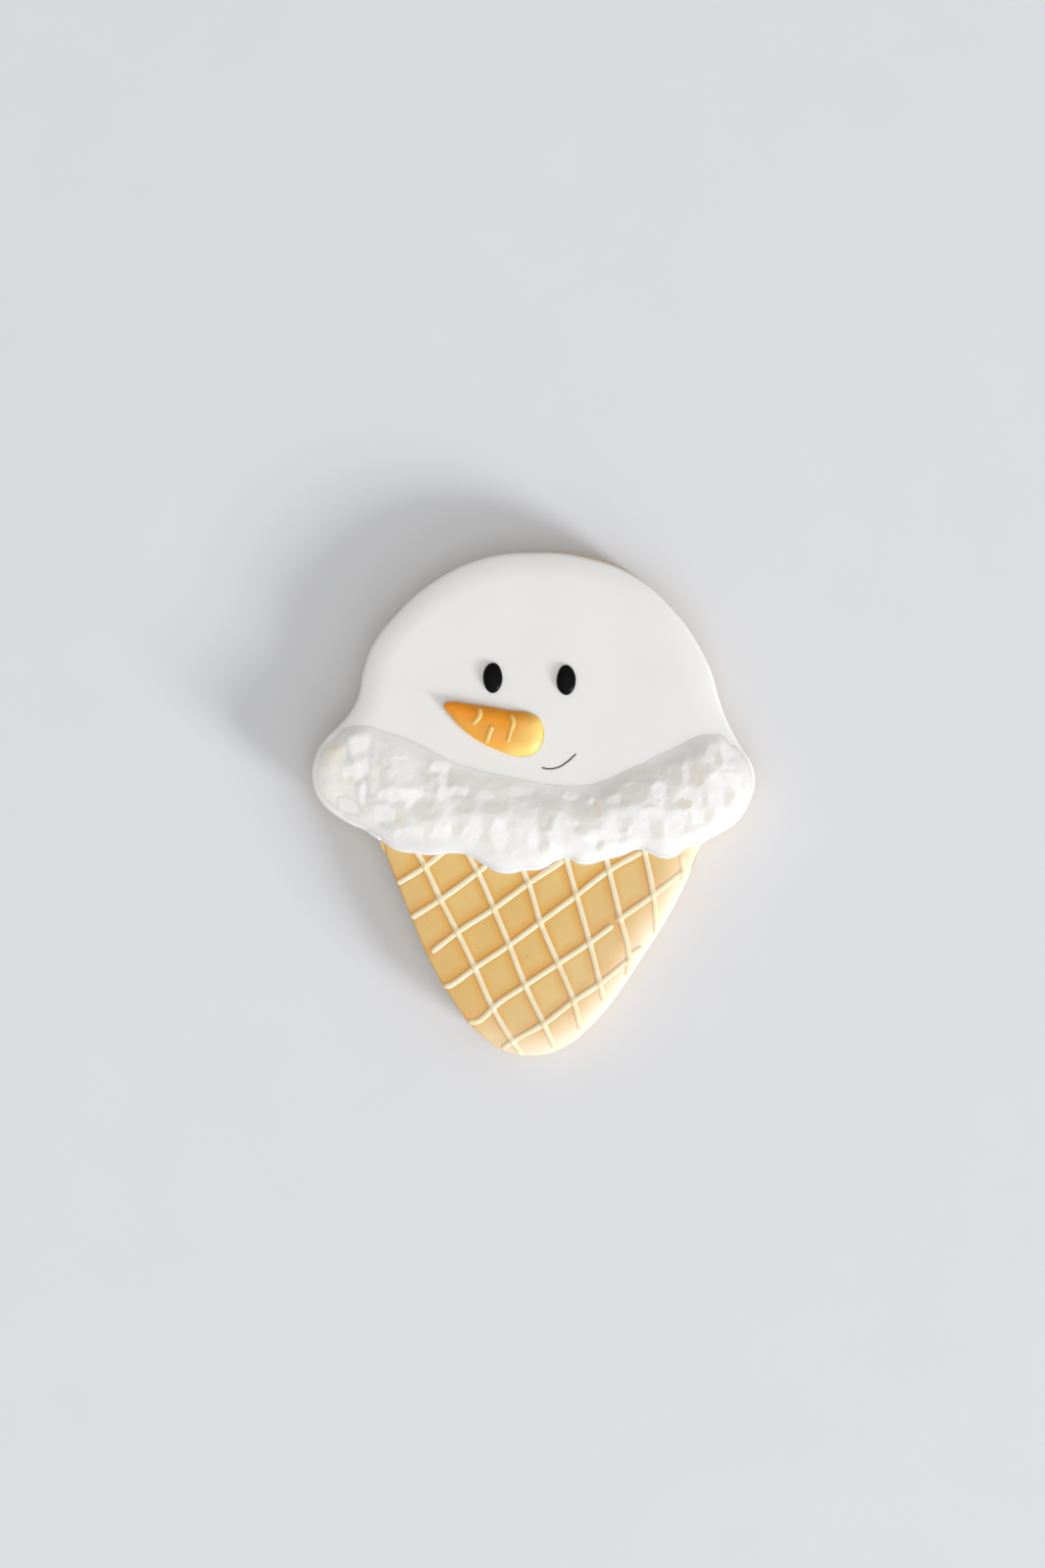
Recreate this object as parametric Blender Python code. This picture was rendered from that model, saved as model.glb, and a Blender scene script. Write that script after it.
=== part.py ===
"""An iced biscuit in the form of an ice cream cone whose scoop is a snowman's head.

It lies flat with its iced side up: +Z is up, +Y runs from the tip of the cone to the top
of the scoop, and +X is to the right as one looks down on it. The origin is at the middle
of the outline, on the surface that the biscuit rests on. All lengths are in metres.

The baked biscuit is a flat slab. White icing is flooded over the scoop down to a wavy hem,
and tan icing over the cone. A rope of thick white icing, dabbed rough, lies along the hem.
Piped lines cross on the cone, and the nose and both eyes are puffs of icing on the scoop.
"""

import math

import bmesh
import bpy
import numpy as np
from mathutils import Matrix, Vector, noise
from mathutils.geometry import delaunay_2d_cdt

# Heights, from the resting surface up
BISCUIT_THICKNESS = 0.0065
BISCUIT_EDGE_ROUND = 0.0011
GAP = 0.0003
SCOOP_ICING_HEIGHT = 0.0028
CONE_ICING_HEIGHT = 0.0019
ROPE_HEIGHT = 0.0023
NOSE_HEIGHT = 0.0024
EYE_HEIGHT = 0.0018

# The icing's edge: a short upright wall, then a roll up to the full height
ICING_WALL = 0.0007
SCOOP_ROLL = 0.0070
CONE_ROLL = 0.0026
NOSE_ROLL = 0.0042
NOSE_WALL = 0.0004

# The biscuit stays a little inside the icing, and shows only beyond the scoop's upper right
BISCUIT_INSET = 0.0006
BISCUIT_PEEK = 0.0011
BISCUIT_PEEK_ANGLE = math.radians(70)
BISCUIT_PEEK_SHARPNESS = 12
SCOOP_MIDDLE = Vector((0.0, 0.0130))

# The outline, counterclockwise from the top of the scoop, in four stretches
SCOOP_LEFT = ((0.0001, 0.0500), (-0.0108, 0.0486), (-0.0206, 0.0437), (-0.0274, 0.0376),
              (-0.0319, 0.0318), (-0.0338, 0.0267), (-0.0349, 0.0213), (-0.0366, 0.0180),
              (-0.0391, 0.0152))
LEFT_LOBE = ((-0.0414, 0.0129), (-0.0434, 0.0093), (-0.0439, 0.0045), (-0.0424, 0.0006),
             (-0.0382, -0.0030), (-0.0333, -0.0054))
CONE_SIDES = ((-0.0304, -0.0071), (-0.0291, -0.0106), (-0.0253, -0.0202), (-0.0208, -0.0308),
              (-0.0164, -0.0385), (-0.0111, -0.0453), (-0.0063, -0.0488), (0.0001, -0.0500),
              (0.0056, -0.0486), (0.0108, -0.0448), (0.0168, -0.0378), (0.0213, -0.0310),
              (0.0263, -0.0232), (0.0306, -0.0149), (0.0326, -0.0096))
RIGHT_LOBE = ((0.0335, -0.0079), (0.0364, -0.0061), (0.0401, -0.0038), (0.0427, 0.0001),
              (0.0439, 0.0046), (0.0430, 0.0086), (0.0413, 0.0112))
SCOOP_RIGHT = ((0.0388, 0.0158), (0.0368, 0.0211), (0.0353, 0.0263), (0.0330, 0.0312),
               (0.0277, 0.0387), (0.0196, 0.0456), (0.0102, 0.0490))

# The wavy hem of the white icing, from the left neck to the right one
HEM = ((-0.0304, -0.0071), (-0.0278, -0.0090), (-0.0234, -0.0099), (-0.0203, -0.0102),
       (-0.0160, -0.0098), (-0.0133, -0.0102), (-0.0100, -0.0121), (-0.0071, -0.0136),
       (-0.0045, -0.0138), (-0.0022, -0.0133), (0.0015, -0.0130), (0.0054, -0.0110),
       (0.0069, -0.0110), (0.0089, -0.0119), (0.0110, -0.0120), (0.0143, -0.0111),
       (0.0172, -0.0104), (0.0211, -0.0091), (0.0230, -0.0099), (0.0256, -0.0108),
       (0.0281, -0.0104), (0.0302, -0.0088), (0.0335, -0.0079))

# The rope's upper edge, from left to right, and how far it stays from outline and hem
ROPE_TOP = ((-0.0389, 0.0119), (-0.0344, 0.0150), (-0.0306, 0.0141), (-0.0249, 0.0125),
            (-0.0177, 0.0086), (-0.0109, 0.0063), (-0.0026, 0.0046), (0.0058, 0.0032),
            (0.0118, 0.0036), (0.0201, 0.0063), (0.0248, 0.0084), (0.0294, 0.0102),
            (0.0326, 0.0121), (0.0361, 0.0131), (0.0388, 0.0112))
ROPE_MARGIN = 0.0017
ROPE_WALL = 0.0005
ROPE_ROLL = 0.0030

# The rope's broken surface: flat chips, and ridges that were dragged towards the hem
CHIP_SIZE = 0.0033
CHIP_RELIEF = 0.0012
RIDGE_WIDTH = 0.0026
RIDGE_LENGTH = 0.0078
RIDGE_RELIEF = 0.0013
RELIEF_STARTS = 0.0004
RELIEF_FULL = 0.0021

# Piped lines over the cone: seven steep ones and eight shallow ones, each by its bends
LINE_WIDTH = 0.0011
PIPED_RISE = 0.00015
STEEP_LINES = (
    ((-0.0218, -0.0116), (-0.0185, -0.0189), (-0.0117, -0.0325), (-0.0082, -0.0403), (-0.0035, -0.0480)),
    ((-0.0129, -0.0117), (-0.0080, -0.0205), (-0.0016, -0.0362), (0.0040, -0.0479)),
    ((-0.0015, -0.0150), (0.0013, -0.0234), (0.0079, -0.0391), (0.0091, -0.0444)),
    ((0.0070, -0.0128), (0.0110, -0.0271), (0.0137, -0.0388)),
    ((0.0146, -0.0126), (0.0172, -0.0226), (0.0187, -0.0298), (0.0186, -0.0336)),
    ((0.0219, -0.0110), (0.0236, -0.0174), (0.0241, -0.0252)),
    ((0.0292, -0.0115), (0.0294, -0.0147)),
)
SHALLOW_LINES = (
    ((-0.0265, -0.0158), (-0.0218, -0.0125), (-0.0195, -0.0114)),
    ((-0.0239, -0.0226), (-0.0185, -0.0189), (-0.0111, -0.0135)),
    ((-0.0199, -0.0294), (-0.0082, -0.0209), (0.0045, -0.0123)),
    ((-0.0176, -0.0360), (-0.0152, -0.0350), (0.0013, -0.0234), (0.0147, -0.0133), (0.0200, -0.0106)),
    ((-0.0128, -0.0430), (-0.0096, -0.0417), (0.0044, -0.0319), (0.0157, -0.0240)),
    ((0.0166, -0.0232), (0.0234, -0.0182), (0.0284, -0.0140)),
    ((-0.0060, -0.0482), (0.0021, -0.0435), (0.0133, -0.0354), (0.0188, -0.0308)),
    ((0.0196, -0.0296), (0.0215, -0.0283)),
)

# The nose: a carrot's outline from its tip along the top, and three piped lines on it
NOSE = ((-0.0178, 0.0198), (-0.0166, 0.0203), (-0.0129, 0.0199), (-0.0057, 0.0185), (0.0009, 0.0172),
        (0.0019, 0.0150), (0.0018, 0.0125), (0.0002, 0.0101), (-0.0024, 0.0094), (-0.0069, 0.0106),
        (-0.0129, 0.0139), (-0.0168, 0.0180))
NOSE_LINE_WIDTH = 0.0007
NOSE_LINES = (
    ((-0.0107, 0.0190), (-0.0107, 0.0175), (-0.0121, 0.0158)),
    ((-0.0082, 0.0154), (-0.0094, 0.0121)),
    ((-0.0045, 0.0176), (-0.0040, 0.0162), (-0.0045, 0.0146), (-0.0052, 0.0122)),
)

# The eyes: two upright ovals
EYE_WIDTH = 0.0035
EYE_LENGTH = 0.0060
EYE_PLACES = {"eye_left": (-0.0081, 0.0250), "eye_right": (0.0063, 0.0246)}

# How finely each surface is divided: rings that follow its edge, then a grid inside them
SCOOP_RINGS = (0.0006, 0.0020, 0.0042)
SCOOP_GRID = 0.0055
CONE_RINGS = (0.0004, 0.0013, 0.0026)
CONE_GRID = 0.0070
ROPE_RINGS = (0.0005, 0.0014)
ROPE_GRID = 0.0013
ROPE_UNDER_GRID = 0.0040
NOSE_RINGS = (0.0005, 0.0015, 0.0030)
NOSE_GRID = 0.0025
RING_CLEARANCE = 0.93
GRID_CLEARANCE = 0.6
EYE_SIDES = 16
EYE_RINGS = 10
CURVE_STEPS = 3
HEM_STEPS = 2
SHARP_ANGLE = math.radians(40)
WELD = 1e-6
MILLIMETRES = 1000.0

COLOURS = {
    "biscuit": (0.545, 0.400, 0.225),
    "white": (0.855, 0.850, 0.830),
    "tan": (0.680, 0.420, 0.165),
    "orange": (0.850, 0.315, 0.035),
    "black": (0.004, 0.005, 0.005),
}
ROUGHNESS = {"biscuit": 0.85, "white": 0.45, "tan": 0.50, "orange": 0.45, "black": 0.30}


def clear_scene():
    """Remove every object, so that the model stands alone."""
    for thing in list(bpy.data.objects):
        bpy.data.objects.remove(thing, do_unlink=True)


def new_collection(name):
    collection = bpy.data.collections.new(name)
    bpy.context.scene.collection.children.link(collection)
    return collection


def material(name):
    """One plain finish for a kind of biscuit or icing."""
    finish = bpy.data.materials.new(name)
    finish.use_nodes = True
    shader = finish.node_tree.nodes["Principled BSDF"]
    shader.inputs["Base Color"].default_value = (*COLOURS[name], 1.0)
    shader.inputs["Roughness"].default_value = ROUGHNESS[name]
    shader.inputs["Metallic"].default_value = 0.0
    return finish


def smooth_line(points, closed=False, steps=CURVE_STEPS):
    """Points along a Bezier curve with automatic handles through the given points."""
    curve = bpy.data.curves.new("guide", "CURVE")
    curve.dimensions = "3D"
    curve.resolution_u = steps
    spline = curve.splines.new("BEZIER")
    spline.bezier_points.add(len(points) - 1)
    spline.use_cyclic_u = closed
    for knot, (x, y) in zip(spline.bezier_points, points):
        knot.co = (x, y, 0.0)
        knot.handle_left_type = "AUTO"
        knot.handle_right_type = "AUTO"
    guide = bpy.data.objects.new("guide", curve)
    bpy.context.scene.collection.objects.link(guide)
    graph = bpy.context.evaluated_depsgraph_get()
    mesh = bpy.data.meshes.new_from_object(guide.evaluated_get(graph))
    line = [Vector(vertex.co[:2]) for vertex in mesh.vertices]
    bpy.data.objects.remove(guide, do_unlink=True)
    bpy.data.meshes.remove(mesh)
    return line


def nearest(place, line):
    """The index of the point of a line that lies nearest to a place."""
    return min(range(len(line)), key=lambda index: (line[index] - Vector(place)).length)


def stretch(loop, start, end):
    """The part of a closed line from near one place to near another."""
    first = nearest(start, loop)
    last = nearest(end, loop)
    if last < first:
        last += len(loop)
    return [loop[index % len(loop)] for index in range(first, last + 1)]


def shifted(line, amount, closed=True):
    """A line moved sideways, to its left where amount is positive; amount may be a rule."""
    count = len(line)
    moved = []
    for index, point in enumerate(line):
        before = line[(index - 1) % count] if closed else line[max(index - 1, 0)]
        after = line[(index + 1) % count] if closed else line[min(index + 1, count - 1)]
        along = (after - before).normalized()
        step = amount(point) if callable(amount) else amount
        moved.append(point + Vector((-along.y, along.x)) * step)
    return moved


def distance(points, loop):
    """The distance of each point from a closed line."""
    start = np.array(loop)
    side = np.roll(start, -1, axis=0) - start
    gap = np.array(points)[:, None, :] - start[None]
    share = np.clip((gap * side).sum(-1) / (side * side).sum(-1), 0.0, 1.0)
    return np.linalg.norm(gap - share[..., None] * side, axis=-1).min(axis=1)


def inside(points, loop):
    """Whether each point lies inside a closed line."""
    place = np.array(points)
    start = np.array(loop)
    end = np.roll(start, -1, axis=0)
    crosses = (start[None, :, 1] > place[:, None, 1]) != (end[None, :, 1] > place[:, None, 1])
    rise = end[:, 1] - start[:, 1]
    rise[rise == 0.0] = 1e-12
    meets = start[:, 0] + (place[:, None, 1] - start[:, 1]) / rise * (end[:, 0] - start[:, 0])
    return (crosses & (place[:, None, 0] < meets)).sum(axis=1) % 2 == 1


def spread(loop, rings, spacing):
    """Points inside a loop: rings that follow it, then an even hexagonal grid."""
    points = []
    for depth in rings:
        ring = shifted(loop, depth)
        clear = inside(ring, loop) & (distance(ring, loop) > RING_CLEARANCE * depth)
        points += [point for point, keep in zip(ring, clear) if keep]
    row_height = spacing * math.sqrt(3.0) / 2.0
    low = Vector((min(p.x for p in loop), min(p.y for p in loop)))
    high = Vector((max(p.x for p in loop), max(p.y for p in loop)))
    grid = []
    for row in range(int((high.y - low.y) / row_height) + 1):
        for column in range(int((high.x - low.x) / spacing) + 1):
            x = low.x + (column + 0.5 * (row % 2)) * spacing
            grid.append(Vector((x, low.y + row * row_height)))
    margin = rings[-1] + GRID_CLEARANCE * spacing
    clear = inside(grid, loop) & (distance(grid, loop) > margin)
    points += [point for point, keep in zip(grid, clear) if keep]
    return points


def triangulated(loop, inner):
    """Triangles that fill a loop and use the inner points; returns points and triangles."""
    places = [point * MILLIMETRES for point in loop + inner]
    edges = [(index, (index + 1) % len(loop)) for index in range(len(loop))]
    inside_only = 1
    found, _, faces, origins, _, _ = delaunay_2d_cdt(places, edges, [], inside_only, WELD)
    order = {origin: index for index, old in enumerate(origins) for origin in old}
    border = [order[index] for index in range(len(loop))]
    return [place / MILLIMETRES for place in found], faces, border


def relief_solid(name, loop, finish, top, bottom, rings, spacing, under_spacing=0.0):
    """A closed solid over an outline, between an upper and a lower height rule."""
    bm = bmesh.new()
    borders = []
    under = spread(loop, rings, under_spacing) if under_spacing else []
    for rule, inner, upward in ((top, spread(loop, rings, spacing), True), (bottom, under, False)):
        places, faces, border = triangulated(loop, inner)
        heights = rule(places)
        corners = [bm.verts.new((p.x, p.y, z)) for p, z in zip(places, heights)]
        for face in faces:
            bm.faces.new([corners[index] for index in (face if upward else reversed(face))])
        borders.append([corners[index] for index in border])
    upper, lower = borders
    for index in range(len(loop)):
        after = (index + 1) % len(loop)
        bm.faces.new((lower[index], lower[after], upper[after], upper[index]))
    bmesh.ops.recalc_face_normals(bm, faces=bm.faces)
    mesh = bpy.data.meshes.new(name)
    bm.to_mesh(mesh)
    bm.free()
    return add_part(name, mesh, finish)


def add_part(name, mesh, finish):
    """A named piece of the biscuit with its finish, shaded smooth but for its sharp edges."""
    mesh.shade_smooth()
    mesh.set_sharp_from_angle(angle=SHARP_ANGLE)
    mesh.materials.append(finishes[finish])
    thing = bpy.data.objects.new(name, mesh)
    parts.objects.link(thing)
    return thing


def puffed(depth, wall, height, roll):
    """The height of flooded icing at a depth inside its edge."""
    share = np.clip(1.0 - depth / roll, 0.0, 1.0)
    return wall + (height - wall) * np.sqrt(1.0 - share * share)


def pipe_lines(name, lines, width, surface):
    """Round piped lines that follow a surface, as closed tubes."""
    for number, points in enumerate(lines):
        path = smooth_line(points)
        heights = surface(path)
        curve = bpy.data.curves.new(f"{name}_{number}", "CURVE")
        curve.dimensions = "3D"
        curve.bevel_depth = width / 2.0
        curve.bevel_resolution = 1
        curve.use_fill_caps = True
        spline = curve.splines.new("POLY")
        spline.points.add(len(path) - 1)
        for knot, place, z in zip(spline.points, path, heights):
            knot.co = (place.x, place.y, z + PIPED_RISE, 1.0)
        tube = bpy.data.objects.new(f"{name}_{number}", closed_mesh(curve))
        piping.objects.link(tube)


def closed_mesh(curve):
    """The mesh of a curve with its caps welded on."""
    guide = bpy.data.objects.new("guide", curve)
    piping.objects.link(guide)
    graph = bpy.context.evaluated_depsgraph_get()
    mesh = bpy.data.meshes.new_from_object(guide.evaluated_get(graph))
    bpy.data.objects.remove(guide, do_unlink=True)
    bm = bmesh.new()
    bm.from_mesh(mesh)
    bmesh.ops.remove_doubles(bm, verts=bm.verts, dist=WELD)
    bmesh.ops.recalc_face_normals(bm, faces=bm.faces)
    bm.to_mesh(mesh)
    bm.free()
    return mesh


def fuse_piping(base):
    """Join every piped line to its base by one Boolean union, and remove the lines."""
    union = base.modifiers.new("fused", "BOOLEAN")
    union.operation = "UNION"
    union.operand_type = "COLLECTION"
    union.collection = piping
    union.solver = "EXACT"
    graph = bpy.context.evaluated_depsgraph_get()
    base.data = bpy.data.meshes.new_from_object(base.evaluated_get(graph))
    base.modifiers.remove(union)
    for line in list(piping.objects):
        bpy.data.objects.remove(line, do_unlink=True)


def biscuit_inset(place):
    """How far the biscuit's edge lies inside the icing's outline at a place on it."""
    away = place - SCOOP_MIDDLE
    facing = math.cos(math.atan2(away.y, away.x) - BISCUIT_PEEK_ANGLE)
    return BISCUIT_INSET - BISCUIT_PEEK * max(facing, 0.0) ** BISCUIT_PEEK_SHARPNESS


def make_biscuit(edge):
    """The baked biscuit: a slab cut from rolled dough, its edges rounded in baking."""
    curve = bpy.data.curves.new("slab", "CURVE")
    curve.dimensions = "2D"
    curve.fill_mode = "BOTH"
    curve.bevel_depth = BISCUIT_EDGE_ROUND
    curve.bevel_resolution = 1
    curve.offset = -BISCUIT_EDGE_ROUND
    curve.extrude = BISCUIT_THICKNESS / 2.0 - BISCUIT_EDGE_ROUND
    spline = curve.splines.new("POLY")
    spline.use_cyclic_u = True
    spline.points.add(len(edge) - 1)
    for knot, place in zip(spline.points, edge):
        knot.co = (place.x, place.y, 0.0, 1.0)
    slab = closed_mesh(curve)
    slab.transform(Matrix.Translation((0.0, 0.0, BISCUIT_THICKNESS / 2.0)))
    add_part("biscuit", slab, "biscuit")


def scoop_top(places):
    """The white flood icing's upper surface."""
    depth = distance(places, scoop_loop)
    return icing_floor + puffed(depth, ICING_WALL, SCOOP_ICING_HEIGHT, SCOOP_ROLL)


def cone_top(places):
    """The tan flood icing's upper surface."""
    depth = distance(places, cone_loop)
    return icing_floor + puffed(depth, ICING_WALL, CONE_ICING_HEIGHT, CONE_ROLL)


def rope_floor(places):
    """The rope's underside, which follows the flood icing that it lies on."""
    return scoop_top(places) + GAP


def rope_top(places):
    """The rope's upper surface: a rounded bead, broken into chips and dragged ridges."""
    depth = distance(places, rope_loop)
    body = puffed(depth, ROPE_WALL, ROPE_HEIGHT, ROPE_ROLL)
    height = rope_floor(places) + body
    strength = np.clip((depth - RELIEF_STARTS) / (RELIEF_FULL - RELIEF_STARTS), 0.0, 1.0)
    for index, place in enumerate(places):
        nearest_chip = noise.voronoi((place / CHIP_SIZE).to_3d())[1][0]
        chip = CHIP_RELIEF * noise.cell(nearest_chip * MILLIMETRES)
        ridge = RIDGE_RELIEF * noise.noise(Vector((place.x / RIDGE_WIDTH, place.y / RIDGE_LENGTH, 0.0)))
        height[index] += strength[index] * (chip - CHIP_RELIEF / 2.0 + ridge)
    return height


def nose_top(places):
    """The nose's puffed upper surface."""
    depth = distance(places, nose_loop)
    return topping_floor + puffed(depth, NOSE_WALL, NOSE_HEIGHT, NOSE_ROLL)


def level(height):
    """A flat surface at one height, as a rule for relief_solid."""
    return lambda places: np.full(len(places), height)


def make_eye(name, place):
    """An eye: the upper half of an upright oval bead of icing, flat underneath."""
    bm = bmesh.new()
    bmesh.ops.create_uvsphere(bm, u_segments=EYE_SIDES, v_segments=EYE_RINGS, radius=1.0)
    bmesh.ops.bisect_plane(bm, geom=bm.verts[:] + bm.edges[:] + bm.faces[:], dist=WELD,
                           plane_co=(0.0, 0.0, 0.0), plane_no=(0.0, 0.0, 1.0), clear_inner=True)
    bmesh.ops.holes_fill(bm, edges=[edge for edge in bm.edges if edge.is_boundary])
    size = (EYE_WIDTH / 2.0, EYE_LENGTH / 2.0, EYE_HEIGHT)
    bmesh.ops.scale(bm, vec=size, verts=bm.verts)
    bmesh.ops.translate(bm, vec=(*place, topping_floor), verts=bm.verts)
    bmesh.ops.recalc_face_normals(bm, faces=bm.faces)
    mesh = bpy.data.meshes.new(name)
    bm.to_mesh(mesh)
    bm.free()
    add_part(name, mesh, "black")


clear_scene()
parts = new_collection("snowman_biscuit")
piping = new_collection("piping")
finishes = {name: material(name) for name in COLOURS}
icing_floor = BISCUIT_THICKNESS + GAP
topping_floor = icing_floor + SCOOP_ICING_HEIGHT + GAP

# The outline and the hem divide the top into the scoop and the cone
outline = smooth_line(SCOOP_LEFT + LEFT_LOBE + CONE_SIDES + RIGHT_LOBE + SCOOP_RIGHT, closed=True)
hem = smooth_line(HEM, steps=HEM_STEPS)
scoop_loop = stretch(outline, RIGHT_LOBE[0], LEFT_LOBE[-1]) + hem[1:-1]
cone_edge = stretch(outline, CONE_SIDES[1], CONE_SIDES[-1])
cone_loop = cone_edge + shifted(hem, -GAP, closed=False)[-3:1:-1]

make_biscuit(shifted(outline, biscuit_inset))
relief_solid("scoop_icing", scoop_loop, "white", scoop_top, level(icing_floor), SCOOP_RINGS, SCOOP_GRID)
cone_icing = relief_solid("cone_icing", cone_loop, "tan", cone_top, level(icing_floor), CONE_RINGS, CONE_GRID)
pipe_lines("cone_line", STEEP_LINES + SHALLOW_LINES, LINE_WIDTH, cone_top)
fuse_piping(cone_icing)

# The rope lies on the scoop's lower edge, inside a smooth rim
left_rim = stretch(outline, LEFT_LOBE[1], LEFT_LOBE[-1])
right_rim = stretch(outline, RIGHT_LOBE[0], RIGHT_LOBE[-1])
rope_under = shifted(left_rim + hem[1:-1] + right_rim, ROPE_MARGIN, closed=False)
rope_loop = rope_under + smooth_line(ROPE_TOP)[::-1]
relief_solid("ruffle_icing", rope_loop, "white", rope_top, rope_floor, ROPE_RINGS, ROPE_GRID, ROPE_UNDER_GRID)

# The face lies on the level middle of the scoop
nose_loop = smooth_line(NOSE, closed=True)[::-1]
nose = relief_solid("carrot_nose", nose_loop, "orange", nose_top, level(topping_floor), NOSE_RINGS, NOSE_GRID)
pipe_lines("nose_line", NOSE_LINES, NOSE_LINE_WIDTH, nose_top)
fuse_piping(nose)
for eye_name, eye_place in EYE_PLACES.items():
    make_eye(eye_name, eye_place)
bpy.data.collections.remove(piping)
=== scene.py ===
import math

import bpy
import numpy as np
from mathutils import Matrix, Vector, kdtree, noise
from mathutils.geometry import delaunay_2d_cdt


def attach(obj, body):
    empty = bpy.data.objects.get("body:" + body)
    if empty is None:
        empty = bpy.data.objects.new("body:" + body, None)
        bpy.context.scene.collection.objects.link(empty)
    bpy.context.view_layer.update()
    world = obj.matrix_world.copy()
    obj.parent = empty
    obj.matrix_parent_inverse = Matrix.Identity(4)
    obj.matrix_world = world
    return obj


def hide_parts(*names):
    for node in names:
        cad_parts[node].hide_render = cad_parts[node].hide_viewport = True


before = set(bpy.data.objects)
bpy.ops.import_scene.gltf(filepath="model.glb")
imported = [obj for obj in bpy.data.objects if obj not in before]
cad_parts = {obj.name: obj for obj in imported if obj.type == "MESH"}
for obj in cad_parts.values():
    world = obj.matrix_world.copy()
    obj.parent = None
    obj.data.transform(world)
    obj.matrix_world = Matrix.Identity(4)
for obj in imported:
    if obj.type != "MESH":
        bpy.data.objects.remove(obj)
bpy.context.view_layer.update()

# The tabletop, the daylight and the camera.
# The biscuit lies on a plain pale tabletop. One soft window light stands low at the lower right, and a
# pale wall beyond the cone's tip and the ceiling throw broad light back. The camera looks straight down.
MM = 0.001
PHOTO_SIZE = (1066, 1600)
PHOTO_SCALE = 0.1942
BISCUIT_IN_PHOTO = (544.35, 820.5)
CAMERA_HEIGHT = 700.0
FACE_HEIGHT = 9.6
SENSOR = 36.0
TABLE_SIZE = 4000.0
TABLE_COLOUR = (0.770, 0.786, 0.826)
TABLE_MOTTLE = (0.985, 1.015)
ROOM_STRENGTH = 0.46
ROOM_COLOUR = (1.0, 0.985, 0.955)
WINDOW = {"place": (4.62, -3.36, 1.86), "size": 1.7, "power": 304.0, "colour": (0.985, 0.99, 1.0)}
WALL = {"place": (1.6, -4.6, 2.4), "size": 5.0, "power": 44.0, "colour": (1.0, 0.99, 0.975)}
CEILING = {"place": (0.0, -0.5, 2.2), "size": 2.4, "power": 10.0, "colour": (1.0, 0.99, 0.97)}


def add_node(tree, kind, values, **settings):
    """The outputs of a new node, with each input linked to a socket or set to a value."""
    node = tree.nodes.new(kind)
    for setting, value in settings.items():
        setattr(node, setting, value)
    for name, value in values.items():
        if isinstance(value, bpy.types.NodeSocket):
            tree.links.new(value, node.inputs[name])
        else:
            node.inputs[name].default_value = value
    return node.outputs


def new_finish(name, roughness, specular=0.5, depth=0.0, reach=(1.0, 1.0, 1.0)):
    """A material whose light wanders inside it, as far as its reach, with its node tree and shader."""
    finish = bpy.data.materials.new(name)
    finish.use_nodes = True
    shader = finish.node_tree.nodes["Principled BSDF"]
    shader.inputs["Roughness"].default_value = roughness
    shader.inputs["Specular IOR Level"].default_value = specular
    shader.inputs["Subsurface Weight"].default_value = depth
    shader.inputs["Subsurface Radius"].default_value = [part * MM for part in reach]
    shader.inputs["Subsurface Scale"].default_value = 1.0
    return finish, finish.node_tree, shader


def place_on(tree):
    """The place on the object itself."""
    return add_node(tree, "ShaderNodeTexCoord", {})["Object"]


def patches(tree, scale, detail):
    """A noise that stays with the object, about so many patches to the metre."""
    values = {"Vector": place_on(tree), "Scale": scale, "Detail": detail}
    return add_node(tree, "ShaderNodeTexNoise", values)["Fac"]


def tone_between(tree, share, *stops):
    """A colour that goes from tone to tone as a share goes from stop to stop."""
    ramp = tree.nodes.new("ShaderNodeValToRGB")
    elements = ramp.color_ramp.elements
    for position, _ in stops[1:-1]:
        elements.new(position)
    for element, (position, tone) in zip(elements, stops):
        element.position = position
        element.color = (*tone, 1.0)
    tree.links.new(share, ramp.inputs["Fac"])
    return ramp.outputs["Color"]


def table_finish():
    """A pale matt tabletop with a faint mottle."""
    finish, tree, shader = new_finish("pale_tabletop", 0.65)
    low, high = ([share * part for part in TABLE_COLOUR] for share in TABLE_MOTTLE)
    colour = tone_between(tree, patches(tree, 60.0, 3.0), (0.0, low), (1.0, high))
    tree.links.new(colour, shader.inputs["Base Color"])
    return finish


half_table = TABLE_SIZE * MM / 2.0
corners = [(-half_table, -half_table, 0.0), (half_table, -half_table, 0.0),
           (half_table, half_table, 0.0), (-half_table, half_table, 0.0)]
table_mesh = bpy.data.meshes.new("tabletop")
table_mesh.from_pydata(corners, [], [(0, 1, 2, 3)])
table_mesh.materials.append(table_finish())
table = bpy.data.objects.new("tabletop", table_mesh)
bpy.context.scene.collection.objects.link(table)

room = bpy.data.worlds.new("room")
room.use_nodes = True
room.node_tree.nodes["Background"].inputs["Color"].default_value = (*ROOM_COLOUR, 1.0)
room.node_tree.nodes["Background"].inputs["Strength"].default_value = ROOM_STRENGTH
bpy.context.scene.world = room
bpy.context.scene.view_settings.view_transform = "Standard"

for name, light in (("window", WINDOW), ("wall", WALL), ("ceiling", CEILING)):
    lamp = bpy.data.lights.new(name, "AREA")
    lamp.shape = "DISK"
    lamp.size = light["size"]
    lamp.energy = light["power"]
    lamp.color = light["colour"]
    soft_light = bpy.data.objects.new(name, lamp)
    soft_light.location = light["place"]
    soft_light.rotation_euler = Vector(light["place"]).to_track_quat("Z", "Y").to_euler()
    bpy.context.scene.collection.objects.link(soft_light)

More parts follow.
